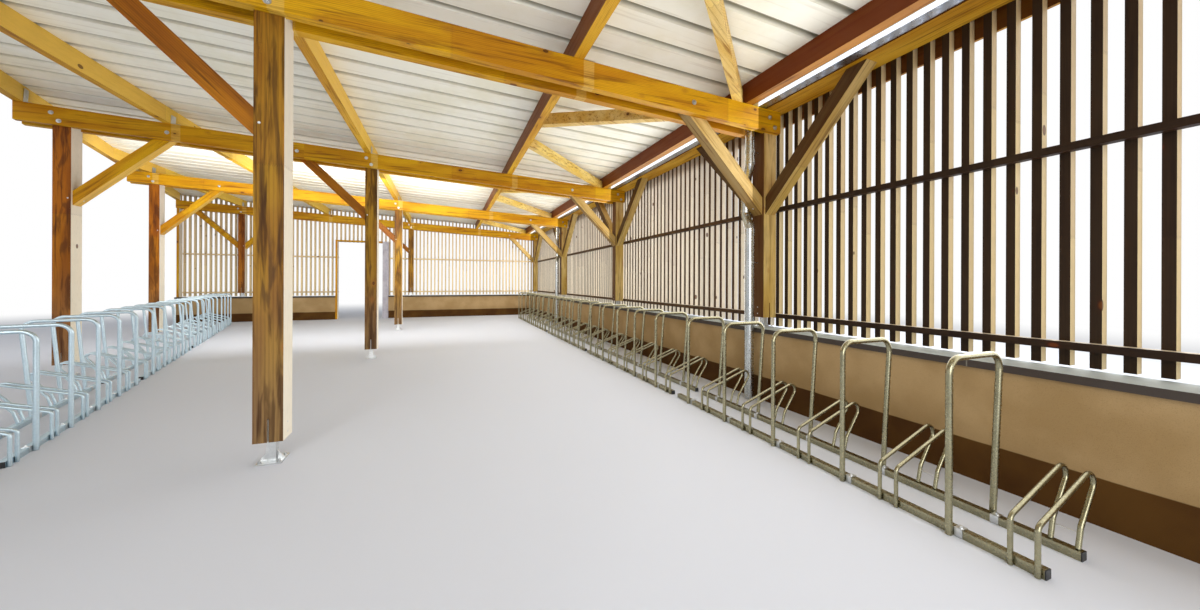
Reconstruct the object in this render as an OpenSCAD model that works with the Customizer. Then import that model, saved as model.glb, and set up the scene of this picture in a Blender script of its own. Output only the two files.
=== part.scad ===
// Bike shelter: five open timber frames under a lean-to steel deck.
// Twin tie beams grip the post heads, a low rendered wall carries the
// slatted sides, and two rows of bent-tube bicycle racks stand inside.
// Sizes are millimetres, with x measured from the centre row of posts,
// y from the first frame towards the far wall, and z from the ground.

/* [Bays] */
// Distance between frames, centre to centre
bay = 3490; // [2800:10:4000]
// Number of bays
bays = 4; // [4:1:5]
// Centre posts to the slatted wall's posts, centre to centre
right_span = 3851; // [3600:1:4300]
// Centre post to left post at the second frame, centre to centre
left_span = 2076; // [1900:1:2400]
// How much further out the left post stands at each next frame
left_step = 1000; // [700:10:1100]
// Centre post to left post at the last frame, centre to centre
end_post_span = 4114; // [2400:1:4200]

/* [Posts and beams] */
// Side of the square posts
post = 150; // [130:1:180]
// Thickness of the post heads and braces between the twin beams
tongue_t = 110; // [80:1:120]
// Thickness of each tie beam
beam_t = 70; // [50:1:90]
// Height of each tie beam
beam_h = 200; // [160:1:240]
// Length of the tie beams past the line of left posts
beam_overhang = 385; // [200:5:450]
// Height of the tie beams' tops at the slatted wall
eaves_h = 2707; // [2600:1:3000]
// Fall of the roof towards the slatted wall, in degrees
roof_fall = 2.75; // [2:0.05:4]
// Height of the posts' ends above the ground
ground_foot_h = 135; // [90:1:180]
// Height of the posts' ends above the copings
wall_foot_h = 100; // [70:1:130]

/* [Braces] */
// Depth of the braces, square to their length
brace_h = 115; // [90:1:130]
// Height of the brace feet on the centre and left posts
brace_foot = 1960; // [1800:10:2100]
// Height of the brace feet on the slatted wall's posts
wall_brace_foot = 1745; // [1650:5:1900]
// Width of the flat braces between the purlins
roof_brace_w = 80; // [60:1:100]
// Height of the flat braces between the purlins
roof_brace_h = 120; // [80:1:150]
// Distance from a frame to its far roof brace's end on the purlin
far_brace_reach = 1500; // [1300:10:1600]
// Distance from a frame to its near roof brace's end on the purlin
near_brace_reach = 1270; // [1000:10:1290]

/* [Roof] */
// Width of the purlins
purlin_w = 80; // [60:1:100]
// Height of the purlins
purlin_h = 180; // [160:1:220]
// Offset of the outer left purlin from the end frame's left post
outer_purlin_offset = -3; // [-40:1:40]
// Centre row to the left purlin's centre
left_purlin_x = 2157; // [2000:1:2400]
// Centre row to the centre purlin's centre
centre_purlin_x = 37; // [0:1:60]
// Centre row to the right purlin's centre
right_purlin_x = 1923; // [1700:1:2100]
// Eaves purlin's centre to the slatted wall's post centres
eaves_purlin_gap = 298; // [280:1:320]
// Reach of the roof deck past the first and last tie beams
deck_overhang = 200; // [100:5:300]
// Reach of the deck past the edge purlin
deck_lip = 50; // [20:1:80]
// Thickness of the deck sheet
deck_t = 3; // [2:0.5:5]
// Distance between deck ribs
rib_pitch = 280; // [200:5:333]
// Width of a deck rib at its foot
rib_foot = 65; // [50:1:90]
// Width of a deck rib at its top
rib_top = 35; // [20:1:45]
// Height of a deck rib
rib_h = 40; // [25:1:50]
// Height of the plate on the beam ends
plate_h = 120; // [100:1:150]
// Width of the plate on the beam ends
plate_w = 220; // [190:1:240]
// Reach of the deck over the box gutter
deck_drip = 50; // [30:1:80]
// Height of the box gutter
gutter_h = 108; // [80:1:110]
// Thickness of the gutter and capping sheet
sheet_t = 3; // [2:0.5:5]
// Length of the capping's folded edges
capping_fold = 45; // [25:1:70]

/* [Low wall] */
// Thickness of the low wall
wall_t = 200; // [160:1:240]
// Height of the coping's top
coping_top = 671; // [600:1:760]
// Thickness of the coping
coping_t = 40; // [30:1:60]
// Reach of the coping past each face of the wall
coping_lip = 20; // [10:1:40]
// Reach of the wall past the first frame's centre line
wall_end = 150; // [100:5:200]

/* [Slatted sides] */
// Width of a slat, along the wall
slat_w = 40; // [30:1:60]
// Depth of a slat, through the wall
slat_d = 50; // [35:1:70]
// Distance between slats
slat_pitch = 106; // [90:1:140]
// Height of the slats' feet
slat_foot = 680; // [640:1:800]
// Depth of the rails behind the slats
rail_d = 50; // [35:1:70]
// Height of the rails
rail_h = 40; // [30:1:60]
// Height of the low rail's underside
low_rail = 766; // [730:1:850]
// Height of the middle rail's underside
mid_rail = 1777; // [1500:1:1900]
// Thickness of the fascia board
fascia_t = 22; // [18:1:35]
// How far the fascia board's lower edge hangs below the eaves line
fascia_drop = 107; // [40:1:250]

/* [Doorway] */
// Centre row to the doorway's right side
door_near = 767; // [700:1:900]
// Clear width of the doorway
door_w = 1150; // [900:5:1250]
// Clear height of the doorway
door_h = 2250; // [2050:5:2350]
// Width of the painted door post
door_post_w = 160; // [100:1:200]
// Width of the timber jambs
jamb_w = 50; // [40:1:80]

/* [Gutter pipes] */
// Outside diameter of the downpipes
pipe_d = 85; // [70:1:90]
// Sideways set of the pipe behind the brace
swan_side = 105; // [100:1:120]
// Set of the pipe towards the post behind the brace
swan_in = 45; // [0:1:50]
// Height of the upper pipe bracket
upper_bracket = 2330; // [2280:5:2400]
// Height of the lower pipe bracket
lower_bracket = 1280; // [900:5:1500]

/* [Bicycle racks] */
// Distance between wheel places
place = 500; // [400:5:600]
// Wheel places of a full rack
rack_places = 5; // [3:1:6]
// Space between one rack and the next, end to end
rack_gap = 100; // [20:5:400]
// Side of the square floor rails
rack_rail = 36; // [30:1:45]
// Distance between the floor rails' centres
rack_depth = 273; // [250:1:320]
// Outside diameter of the wheel holder tubes
holder_d = 18; // [14:1:25]
// Distance between the two tubes of a wheel holder
holder_gap = 78; // [65:1:95]
// Height of a wheel holder's front bend
holder_front = 190; // [150:1:240]
// Height of a wheel holder's crest
holder_top = 372; // [320:1:450]
// Reach of a wheel holder's crest from its front tube
holder_reach = 505; // [440:1:540]
// Height of a wheel holder's lower back bend
holder_knee = 120; // [90:1:160]
// Outside diameter of the leaning hoops
hoop_d = 27; // [21:1:34]
// Height of a leaning hoop
hoop_top = 784; // [650:1:900]
// Reach of a leaning hoop's crown
hoop_reach = 388; // [360:1:430]
// Bend radius of a leaning hoop
hoop_bend = 70; // [50:1:100]
// Distance from a rack's end to its first wheel place
first_holder = 58; // [55:1:80]
// Distance from a wheel place to the next leaning hoop
hoop_offset = 240; // [150:1:300]
// Distance from the slatted wall's posts to the right rack's front tubes
right_rack_set = 803; // [790:1:950]
// Distance from the left posts' line to the left rack's front tubes
left_rack_set = 799; // [700:1:900]
// Start of the right row of racks, past the first frame
right_rack_start = 1260; // [600:5:1500]
// Start of the left row of racks, past the first frame
left_rack_start = 1416; // [1200:5:1600]
// Clear floor between the right row of racks and the far wall
right_row_clear = 1200; // [700:5:1600]
// Clear floor between the left row of racks and the far wall
left_row_clear = 400; // [300:5:1200]

/* [Hidden] */
$fn = 48;

// Clearances and small fixed sizes
seat = 0.3;
foot_plate = [130, 140, 8];
foot_stub = 46;
foot_gusset = 6;
gusset_h = 60;
blade_t = 6;
blade_h = 130;
blade_slot = 8;
joint_past = 10;
clamp_l = 30;
clamp_t = 3;
cap_t = 4;
tie_d = 5;
bracket_d = 10;
bracket_ring_h = 24;
bracket_ring_t = 3;
bend_ring_l = 3;
bend_ring_proud = 0.1;
socket_l = 40;
socket_proud = 3;
pipe_bend = 90;
gutter_gap = 4;
gutter_side_gap = 7;
swan_drop = 100;
swan_fall = 140;
swan_end = 20;
tube_foot = 2;
front_bend = 30;
crest_bend = 45;
knee_bend = 30;
knee_reach = 27;
back_foot_set = 5;
tie_h = 95;

// Roof plane: the tie beams' tops. Cuts reach twice as high as the eaves.
cut = 2 * eaves_h;
right_x = right_span + post / 2;
roof_slope = tan(roof_fall);
far_y = bay * bays;
skew = left_step / bay;
skew_angle = atan(skew);
pair_w = tongue_t + 2 * beam_t;
first_beam = -pair_w / 2;
last_beam = far_y + pair_w / 2;
near_eaves = first_beam - deck_overhang;
far_eaves = last_beam + deck_overhang;
left_line = left_span - left_step;
function roof_z(x) = eaves_h + roof_slope * (right_x - x);
function left_post_x(i) = -left_line - left_step * i;
function edge_x(y) = -left_line - beam_overhang - skew * y;

// Slatted wall and far wall, from the posts outwards
rail_x = right_x;
slat_x = rail_x + rail_d;
fascia_x = slat_x + slat_d;
fascia_foot = eaves_h - fascia_drop;
far_face = far_y + post / 2;
far_slat_y = last_beam;
far_rail_d = far_slat_y - far_face;
plate_x = slat_x - plate_w;
eaves_purlin_x = right_span - eaves_purlin_gap;
gutter_x = eaves_purlin_x + purlin_w / 2 + gutter_side_gap;
gutter_w = plate_x - gutter_gap - gutter_x;
gutter_z = roof_z(gutter_x);
pipe_x = gutter_x + gutter_w / 2;
deck_right = gutter_x + deck_drip;
plate_top = roof_z(plate_x) + plate_h;
wall_top = coping_top - coping_t;
post_on_wall = coping_top + wall_foot_h;
corner_x = right_span + wall_t / 2;
door_right = -door_near;
door_left = door_right - door_w;
left_end_x = edge_x(far_y - wall_t / 2);
capping_right = fascia_x + fascia_t + sheet_t;
capping_end = far_slat_y + slat_d;

// The part's own origin is the middle of its box, on the ground
min_x = edge_x(far_eaves) - deck_lip / cos(skew_angle);
max_x = capping_right;
origin = [(min_x + max_x) / 2, (near_eaves + far_eaves) / 2, 0];

// Racks
rack_depth_back = holder_d / 2 + seat + rack_rail / 2 + rack_depth;
rack_pitch = rack_places * place + rack_gap;
right_rack_x = right_span - right_rack_set;
module site() {
    translate(-origin) children();
}

// An outline drawn in x and z, run along the shelter
module run_y(y0, y1) {
    translate([0, y1, 0]) rotate([90, 0, 0]) linear_extrude(y1 - y0) children();
}

// An outline drawn in y and z, run across the shelter
module run_x(x0, x1) {
    translate([x0, 0, 0]) rotate([90, 0, 90]) linear_extrude(x1 - x0) children();
}

// All that lies between two heights above the beams' tops
module roof_band(low, high) {
    x0 = min_x - cut / 10;
    x1 = max_x + cut / 10;
    run_y(near_eaves - cut / 10, far_eaves + cut / 10)
        polygon([
            [x0, roof_z(x0) + low], [x1, roof_z(x1) + low],
            [x1, roof_z(x1) + high], [x0, roof_z(x0) + high]
        ]);
}

// A plan outline cut to a layer of the roof
module roof_piece(low, high) {
    intersection() {
        linear_extrude(cut) children();
        roof_band(low, high);
    }
}

module below_beam_tops() {
    intersection() {
        children();
        roof_band(-cut, 0);
    }
}

// The plan to the right of a line that runs beside the skewed edge
module inside_edge(set) {
    y0 = near_eaves - joint_past;
    y1 = far_eaves + joint_past;
    shift = set / cos(skew_angle);
    polygon([
        [edge_x(y0) + shift, y0], [max_x + joint_past, y0],
        [max_x + joint_past, y1], [edge_x(y1) + shift, y1]
    ]);
}

module plan_strip(x0, x1, y0, y1) {
    translate([x0, y0]) square([x1 - x0, y1 - y0]);
}

// Low walls
module low_wall_right() {
    color("tan") site()
        translate([right_span - wall_t / 2, -wall_end, 0])
            cube([wall_t, far_y - wall_t / 2 + wall_end, wall_top]);
}

module far_wall_stretch(x0, x1, lip, z0, z1) {
    translate([x0, far_y - wall_t / 2 - lip, z0])
        cube([x1 - x0, wall_t + 2 * lip, z1 - z0]);
}

module low_wall_far() {
    color("tan") site() {
        far_wall_stretch(left_end_x, door_left - jamb_w, 0, 0, wall_top);
        far_wall_stretch(door_right + door_post_w, corner_x, 0, 0, wall_top);
    }
}

module coping_right() {
    color("lightgray") site()
        translate([right_span - wall_t / 2 - coping_lip, -wall_end - coping_lip, wall_top])
            cube([
                wall_t + 2 * coping_lip,
                far_y - wall_t / 2 + wall_end,
                coping_t
            ]);
}

module coping_far() {
    color("lightgray") site() {
        far_wall_stretch(left_end_x - coping_lip, door_left - jamb_w, coping_lip, wall_top, coping_top);
        far_wall_stretch(door_right + door_post_w, corner_x + coping_lip, coping_lip, wall_top, coping_top);
    }
}

// A post stands on its foot's blade, and its head is cut back on both
// sides to a tongue that stands between the twin beams
module square_post(x, i, foot_z) {
    y = bay * i;
    shoulder = (post - tongue_t) / 2;
    below_beam_tops()
        difference() {
            translate([x - post / 2, y - post / 2, foot_z]) cube([post, post, cut - foot_z]);
            for (side = [0, 1])
                translate([x, y, 0]) mirror([0, side, 0])
                    run_y(tongue_t / 2, tongue_t / 2 + shoulder + joint_past)
                        polygon([
                            [-post, roof_z(x - post) - beam_h], [post, roof_z(x + post) - beam_h],
                            [post, cut], [-post, cut]
                        ]);
            translate([x - blade_slot / 2, y - post / 2 - joint_past, foot_z - joint_past])
                cube([blade_slot, post + 2 * joint_past, blade_h + 2 * joint_past]);
        }
}

module centre_posts() {
    color("peru") site()
        for (i = [0:bays]) square_post(0, i, i < bays ? ground_foot_h : post_on_wall);
}

module right_posts() {
    color("peru") site()
        for (i = [0:bays]) square_post(right_span, i, post_on_wall);
}

module left_posts() {
    color("peru") site() {
        for (i = [1:bays - 1]) square_post(left_post_x(i), i, ground_foot_h);
        square_post(-end_post_span, bays, post_on_wall);
    }
}

// Galvanised foot: base plate, square stub, two gussets and a blade
module post_foot(x, i, base_z, h) {
    translate([x, bay * i, base_z]) {
        translate([-foot_plate.x / 2, -foot_plate.y / 2, 0]) cube(foot_plate);
        translate([-foot_stub / 2, -foot_stub / 2, foot_plate.z])
            cube([foot_stub, foot_stub, h - foot_plate.z]);
        run_y(-foot_gusset / 2, foot_gusset / 2)
            polygon([
                [-foot_plate.x / 2, foot_plate.z], [foot_plate.x / 2, foot_plate.z],
                [foot_stub / 2, min(gusset_h, h)], [-foot_stub / 2, min(gusset_h, h)]
            ]);
        translate([-blade_t / 2, -foot_plate.y / 2 + joint_past, h])
            cube([blade_t, foot_plate.y - 2 * joint_past, blade_h]);
    }
}

module ground_feet() {
    color("silver") site() {
        for (i = [0:bays - 1]) post_foot(0, i, 0, ground_foot_h);
        for (i = [1:bays - 1]) post_foot(left_post_x(i), i, 0, ground_foot_h);
    }
}

module wall_feet() {
    color("silver") site() {
        for (i = [0:bays]) post_foot(right_span, i, coping_top, wall_foot_h);
        post_foot(0, bays, coping_top, wall_foot_h);
        post_foot(-end_post_span, bays, coping_top, wall_foot_h);
    }
}

// Twin tie beams, their left ends cut to the skewed edge of the roof
module tie_beams() {
    color("goldenrod") site()
        for (i = [0:bays], side = [-1, 1]) {
            y = bay * i + side * (tongue_t + beam_t) / 2;
            roof_piece(-beam_h, 0)
                intersection() {
                    plan_strip(min_x, right_x, y - beam_t / 2, y + beam_t / 2);
                    inside_edge(0);
                }
        }
}

// A brace at 45 degrees from its foot on a post, drawn from the post's face
module brace_outline(foot_z, side, reach) {
    depth = brace_h * sqrt(2);
    polygon([
        [0, foot_z], [side * reach, foot_z + reach],
        [side * reach, foot_z + reach + depth], [0, foot_z + depth]
    ]);
}

// A brace in the plane of a frame, between the twin beams. It meets the
// brace of the next post at half the span where there is no room for both.
module frame_brace(x, i, side, foot_z, span) {
    y = bay * i;
    reach = min(roof_z(min_x) - foot_z, (span - post) / 2);
    below_beam_tops()
        translate([x + side * post / 2, 0, 0])
            run_y(y - tongue_t / 2, y + tongue_t / 2)
                brace_outline(foot_z, side, reach);
}

function left_gap(i) =
    i == 0 ? 2 * (left_line + beam_overhang) : (i < bays ? -left_post_x(i) : end_post_span);

module centre_braces() {
    color("darkgoldenrod") site()
        for (i = [0:bays]) frame_brace(0, i, -1, brace_foot, left_gap(i));
}

module left_braces() {
    color("darkgoldenrod") site() {
        for (i = [1:bays - 1]) frame_brace(left_post_x(i), i, 1, brace_foot, -left_post_x(i));
        frame_brace(-end_post_span, bays, 1, brace_foot, end_post_span);
        frame_brace(-end_post_span, bays, -1, brace_foot, 2 * (-left_end_x - jamb_w - end_post_span));
    }
}

module right_braces() {
    color("darkgoldenrod") site()
        for (i = [0:bays]) frame_brace(right_span, i, -1, wall_brace_foot, right_span);
}

// Braces along the slatted wall, up to the plate on the beam ends
module wall_braces() {
    color("darkgoldenrod") site()
        for (i = [0:bays], side = [-1, 1])
            if (bay * (i + side) >= 0 && i + side <= bays)
                below_beam_tops()
                    translate([0, bay * i + side * post / 2, 0])
                        run_x(right_span - tongue_t / 2, right_span + tongue_t / 2)
                            brace_outline(
                                wall_brace_foot, side, min(eaves_h - wall_brace_foot, (bay - post) / 2)
                            );
}

// Purlins on the tie beams
module purlin(x) {
    roof_piece(0, purlin_h)
        intersection() {
            plan_strip(x - purlin_w / 2, x + purlin_w / 2, near_eaves + deck_lip, last_beam);
            inside_edge(purlin_w);
        }
}

module edge_purlin() {
    color("goldenrod") site()
        roof_piece(0, purlin_h)
            intersection() {
                difference() {
                    inside_edge(0);
                    inside_edge(purlin_w);
                }
                plan_strip(min_x, max_x, near_eaves + deck_lip, last_beam);
            }
}

module outer_left_purlin() {
    color("goldenrod") site() purlin(-end_post_span + outer_purlin_offset);
}

module left_purlin() {
    color("goldenrod") site() purlin(-left_purlin_x);
}

module centre_purlin() {
    color("goldenrod") site() purlin(-centre_purlin_x);
}

module right_purlin() {
    color("goldenrod") site() purlin(right_purlin_x);
}

module eaves_purlin() {
    color("goldenrod") site() purlin(eaves_purlin_x);
}

// A flat brace between the right purlin and the eaves purlin
module roof_brace(y_purlin, y_eaves) {
    x0 = right_purlin_x + purlin_w / 2;
    x1 = eaves_purlin_x - purlin_w / 2;
    slant = atan2(y_eaves - y_purlin, x1 - x0);
    half = roof_brace_w / 2 / cos(slant);
    roof_piece(0, roof_brace_h)
        polygon([
            [x0, y_purlin - half], [x1, y_eaves - half],
            [x1, y_eaves + half], [x0, y_purlin + half]
        ]);
}

module roof_braces() {
    color("goldenrod") site()
        for (i = [1:bays]) {
            y = bay * i;
            roof_brace(y - far_brace_reach, y - beam_t / 2);
            roof_brace(y - bay + near_brace_reach, y - bay + pair_w / 2 + beam_t);
        }
}

// Trapezoidal steel deck: one folded sheet, its ribs running down the fall
function rib_points(y, lift, grow) = [
    [y - rib_foot / 2 - grow, lift], [y - rib_top / 2 - grow, lift + rib_h],
    [y + rib_top / 2 + grow, lift + rib_h], [y + rib_foot / 2 + grow, lift]
];
function reversed(points) = [for (i = [len(points) - 1:-1:0]) points[i]];

module deck_profile() {
    rib_lean = atan2(rib_h, (rib_foot - rib_top) / 2);
    grow = deck_t * tan(rib_lean / 2);
    ribs = floor((far_eaves - near_eaves - rib_foot) / rib_pitch);
    first = (near_eaves + far_eaves - ribs * rib_pitch) / 2;
    under = [for (k = [0:ribs]) each rib_points(first + k * rib_pitch, 0, 0)];
    above = [for (k = [0:ribs]) each rib_points(first + k * rib_pitch, deck_t, grow)];
    polygon(concat(
        [[near_eaves, 0]], under, [[far_eaves, 0], [far_eaves, deck_t]],
        reversed(above), [[near_eaves, deck_t]]
    ));
}

module roof_deck() {
    color("gainsboro") site()
        intersection() {
            translate([right_x, 0, eaves_h]) rotate([0, roof_fall, 0])
                translate([0, 0, purlin_h * cos(roof_fall)])
                    run_x((min_x - right_x) / cos(roof_fall) - joint_past, 0) deck_profile();
            linear_extrude(cut)
                intersection() {
                    inside_edge(-deck_lip);
                    plan_strip(min_x - joint_past, deck_right, near_eaves, far_eaves);
                }
        }
}

// Plate on the beam ends, box gutter beside it, fascia and folded capping
module wall_plate() {
    color("goldenrod") site()
        roof_piece(0, plate_h) plan_strip(plate_x, slat_x, first_beam, last_beam);
}

module box_gutter() {
    color("silver") site() {
        run_y(first_beam, last_beam)
            difference() {
                translate([gutter_x, gutter_z]) square([gutter_w, gutter_h]);
                translate([gutter_x + sheet_t, gutter_z + sheet_t])
                    square([gutter_w - 2 * sheet_t, gutter_h]);
            }
        for (y = [first_beam, last_beam - sheet_t])
            translate([gutter_x + sheet_t, y, gutter_z + sheet_t])
                cube([gutter_w - 2 * sheet_t, sheet_t, gutter_h - sheet_t]);
    }
}

module fascia_board() {
    color("chocolate") site()
        translate([fascia_x, -wall_end, fascia_foot])
            cube([fascia_t, capping_end + wall_end, plate_top - fascia_foot]);
}

module edge_capping() {
    color("darkgray") site()
        run_y(-wall_end, capping_end)
            difference() {
                translate([plate_x - sheet_t - seat, plate_top - capping_fold])
                    square([capping_right - plate_x + sheet_t + seat, capping_fold + sheet_t + seat]);
                translate([plate_x - seat, plate_top - capping_fold - joint_past])
                    square([capping_right - sheet_t - plate_x + seat, capping_fold + joint_past + seat]);
            }
}

// Downpipes drop between the twin beams, step behind the brace and return.
// The pipe lies in one upright plane, turned towards the post.
pipe_path = [
    [0, gutter_z - seat],
    [0, eaves_h - 2 * beam_h - swan_drop],
    [norm([swan_in, swan_side]), eaves_h - 2 * beam_h - swan_drop - swan_fall],
    [norm([swan_in, swan_side]), wall_brace_foot + swan_end],
    [0, wall_brace_foot + swan_end - swan_fall],
    [0, 0]
];
pipe_bends = [for (i = [2:len(pipe_path) - 1]) pipe_bend];

module downpipes() {
    color("silver") site()
        for (i = [1:2:bays])
            translate([pipe_x, bay * i, 0]) rotate([0, 0, atan2(swan_side, swan_in)])
                bent_tube(pipe_path, pipe_bends, pipe_d, socket_l, socket_proud);
}

// A ring round the pipe on a stud from the post
module pipe_brackets() {
    stud = right_span - post / 2 - pipe_x;
    color("silver") site()
        for (i = [1:2:bays], z = [upper_bracket, lower_bracket])
            translate([pipe_x, bay * i, z]) {
                difference() {
                    union() {
                        cylinder(d = pipe_d + 2 * (seat + bracket_ring_t), h = bracket_ring_h);
                        translate([0, 0, bracket_ring_h / 2]) rotate([0, 90, 0])
                            cylinder(d = bracket_d, h = stud);
                    }
                    translate([0, 0, -joint_past])
                        cylinder(d = pipe_d + 2 * seat, h = bracket_ring_h + 2 * joint_past);
                }
            }
}

// Slatted sides: slats fixed outside two rails
function slat_y(k) = -post / 2 + slat_pitch * k;

module right_slats(b) {
    y0 = b == 1 ? -wall_end : bay * (b - 1);
    y1 = b == bays ? far_face : bay * b;
    last = floor((far_face + post / 2) / slat_pitch);
    for (k = [0:last])
        if (slat_y(k) >= y0 && slat_y(k) < y1)
            translate([slat_x, slat_y(k), slat_foot])
                cube([slat_d, slat_w, plate_top - slat_foot]);
    for (z = [low_rail, mid_rail]) translate([rail_x, y0, z]) cube([rail_d, y1 - y0, rail_h]);
}

function far_slat_x(k) = slat_x - slat_w - slat_pitch * k;

module far_slats(x0, x1, foot_z, rails, rail_x0, rail_x1) {
    last = ceil((fascia_x - min_x) / slat_pitch);
    intersection() {
        for (k = [0:last])
            if (far_slat_x(k) >= x0 && far_slat_x(k) < x1)
                translate([far_slat_x(k), far_slat_y, foot_z])
                    cube([slat_w, slat_d, cut - foot_z]);
        union() {
            roof_band(-cut, plate_h);
            intersection() {
                roof_band(-cut, purlin_h);
                translate([min_x - joint_past, 0, 0])
                    cube([eaves_purlin_x + purlin_w / 2 - min_x + joint_past, 2 * far_y, cut]);
            }
        }
    }
    for (z = rails)
        translate([rail_x0, far_face, z]) cube([rail_x1 - rail_x0, far_rail_d, rail_h]);
}

module slats_right_1() {
    color("sienna") site() right_slats(1);
}

module slats_right_2() {
    color("sienna") site() right_slats(2);
}

module slats_right_3() {
    color("sienna") site() right_slats(3);
}

module slats_right_4() {
    color("sienna") site() for (b = [4:bays]) right_slats(b);
}

module slats_far_left() {
    color("sienna") site()
        far_slats(left_end_x, door_left - jamb_w, slat_foot, [low_rail, mid_rail], left_end_x, door_left);
}

module slats_over_door() {
    color("sienna") site()
        far_slats(door_left - jamb_w, door_right, door_h, [door_h], door_left, door_right);
}

module slats_far_right() {
    color("sienna") site()
        far_slats(door_right, cut, slat_foot, [low_rail, mid_rail], door_right, slat_x);
}

// Doorway: a painted post on one side, a timber jamb on the other and a
// timber head across, level with the rail that carries the slats above
module door_post() {
    color("rosybrown") site()
        translate([door_right, far_y - post / 2, 0])
            cube([door_post_w, post, door_h + rail_h]);
}

module timber_jambs() {
    color("peru") site() {
        translate([door_left - jamb_w, far_y - post / 2, 0])
            cube([jamb_w, post, door_h + rail_h]);
        translate([door_left, far_y - post / 2, door_h]) cube([door_w, post, rail_h]);
        intersection() {
            roof_piece(-cut, -beam_h)
                plan_strip(left_end_x, left_end_x + jamb_w, far_y - post / 2, far_face);
            translate([min_x, 0, coping_top]) cube([cut, 2 * far_y, cut]);
        }
    }
}

// A round tube along a flat path, with a round bend at each inner corner.
// The path is drawn in x and y and then stood up on the ground.
function heading(a, b) = atan2(b.y - a.y, b.x - a.x);
function turn_at(path, i) =
    let (t = heading(path[i], path[i + 1]) - heading(path[i - 1], path[i]))
    t > 180 ? t - 360 : (t < -180 ? t + 360 : t);
function setback(path, bends, i) =
    i == 0 || i == len(path) - 1 ? 0 : bends[i - 1] * tan(abs(turn_at(path, i)) / 2);

// Each bend meets its straights inside a short ring, a hair proud of the tube
module bent_tube(path, bends, d, ring_l = bend_ring_l, ring_proud = bend_ring_proud) {
    gap = ring_l / 6;
    last = len(path) - 2;
    rotate([90, 0, 0]) {
        for (i = [0:last]) {
            from = i == 0 ? 0 : setback(path, bends, i) + gap;
            to = norm(path[i + 1] - path[i]) - (i == last ? 0 : setback(path, bends, i + 1) + gap);
            translate(path[i]) rotate([0, 0, heading(path[i], path[i + 1])]) translate([from, 0, 0])
                rotate([0, 90, 0]) cylinder(d = d, h = to - from);
        }
        for (i = [1:last]) {
            r = bends[i - 1];
            turn = turn_at(path, i);
            side = sign(turn);
            a = heading(path[i - 1], path[i]);
            back = setback(path, bends, i);
            centre = path[i] - back * [cos(a), sin(a)] + side * r * [-sin(a), cos(a)];
            trim = gap / r * 180 / PI;
            translate(centre) rotate([0, 0, (side > 0 ? a - 90 : a + 90 + turn) + trim])
                rotate_extrude(angle = abs(turn) - 2 * trim) translate([r, 0]) circle(d = d);
            for (end = [[a, -back], [a + turn, back]])
                translate(path[i] + end[1] * [cos(end[0]), sin(end[0])]) rotate([0, 0, end[0]])
                    rotate([0, 90, 0]) cylinder(d = d + 2 * ring_proud, h = ring_l, center = true);
        }
    }
}

holder_path = [
    [0, tube_foot], [0, holder_front], [holder_reach, holder_top],
    [rack_depth_back + knee_reach, holder_knee], [rack_depth_back + back_foot_set, rack_rail + seat]
];
holder_bends = [front_bend, crest_bend, knee_bend];
hoop_front = holder_d / 2 - hoop_d / 2;
hoop_path = [
    [hoop_front, tube_foot], [hoop_front, hoop_top - hoop_d / 2],
    [hoop_reach, hoop_top - hoop_d / 2],
    [rack_depth_back + rack_rail / 2 + hoop_d / 2 + 2 * seat, tube_foot]
];
hoop_bends = [hoop_bend, hoop_bend];
function rail_front(k) = k == 0 ? holder_d / 2 + seat : rack_depth_back - rack_rail / 2;

module rack_rails(places) {
    for (k = [0, 1])
        translate([rail_front(k), cap_t, 0])
            cube([rack_rail, places * place - 2 * cap_t, rack_rail]);
}

module rack_hoops(places) {
    for (i = [0:places - 1])
        translate([0, first_holder + hoop_offset + place * i, 0])
            bent_tube(hoop_path, hoop_bends, hoop_d);
}

module rack_holders(places) {
    for (i = [0:places - 1], side = [-1, 1])
        translate([0, first_holder + place * i + side * holder_gap / 2, 0])
            bent_tube(holder_path, holder_bends, holder_d);
}

// Where a wheel holder's back leg stands at a given height
function back_leg_x(z) =
    let (foot = rack_rail + seat)
    rack_depth_back + back_foot_set + (knee_reach - back_foot_set) * (z - foot) / (holder_knee - foot);

// Saddles that hold the hoops to the rails, and the thin ties between
// the back legs of each wheel holder
module rack_saddles(places) {
    for (i = [0:places - 1], k = [0, 1])
        translate([rail_front(k), first_holder + hoop_offset + place * i - clamp_l - hoop_d / 2, 0])
            difference() {
                translate([-clamp_t - seat, 0, clamp_t])
                    cube([rack_rail + 2 * (clamp_t + seat), clamp_l, rack_rail + seat]);
                translate([-seat, -joint_past, 0])
                    cube([rack_rail + 2 * seat, clamp_l + 2 * joint_past, rack_rail + seat]);
            }
    tie_l = holder_gap - holder_d - 2 * seat;
    for (i = [0:places - 1])
        translate([back_leg_x(tie_h), first_holder + place * i - tie_l / 2, tie_h])
            rotate([-90, 0, 0]) cylinder(d = tie_d, h = tie_l);
}

module rack_caps(places) {
    for (k = [0, 1], y = [0, places * place - cap_t])
        translate([rail_front(k), y, 0]) cube([rack_rail, cap_t, rack_rail]);
}

// Number of wheel places of each rack along a row
function row_places(row_length, k) =
    min(rack_places, floor((row_length - rack_pitch * k) / place));
right_row = far_y - wall_t / 2 - right_rack_start - right_row_clear;
left_row = (far_y - wall_t / 2 - left_rack_start) / cos(skew_angle) - left_row_clear;

module right_racks() {
    for (k = [0:floor(right_row / rack_pitch)]) {
        $places = row_places(right_row, k);
        if ($places > 0)
            translate([right_rack_x, right_rack_start + rack_pitch * k, 0]) children();
    }
}

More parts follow.
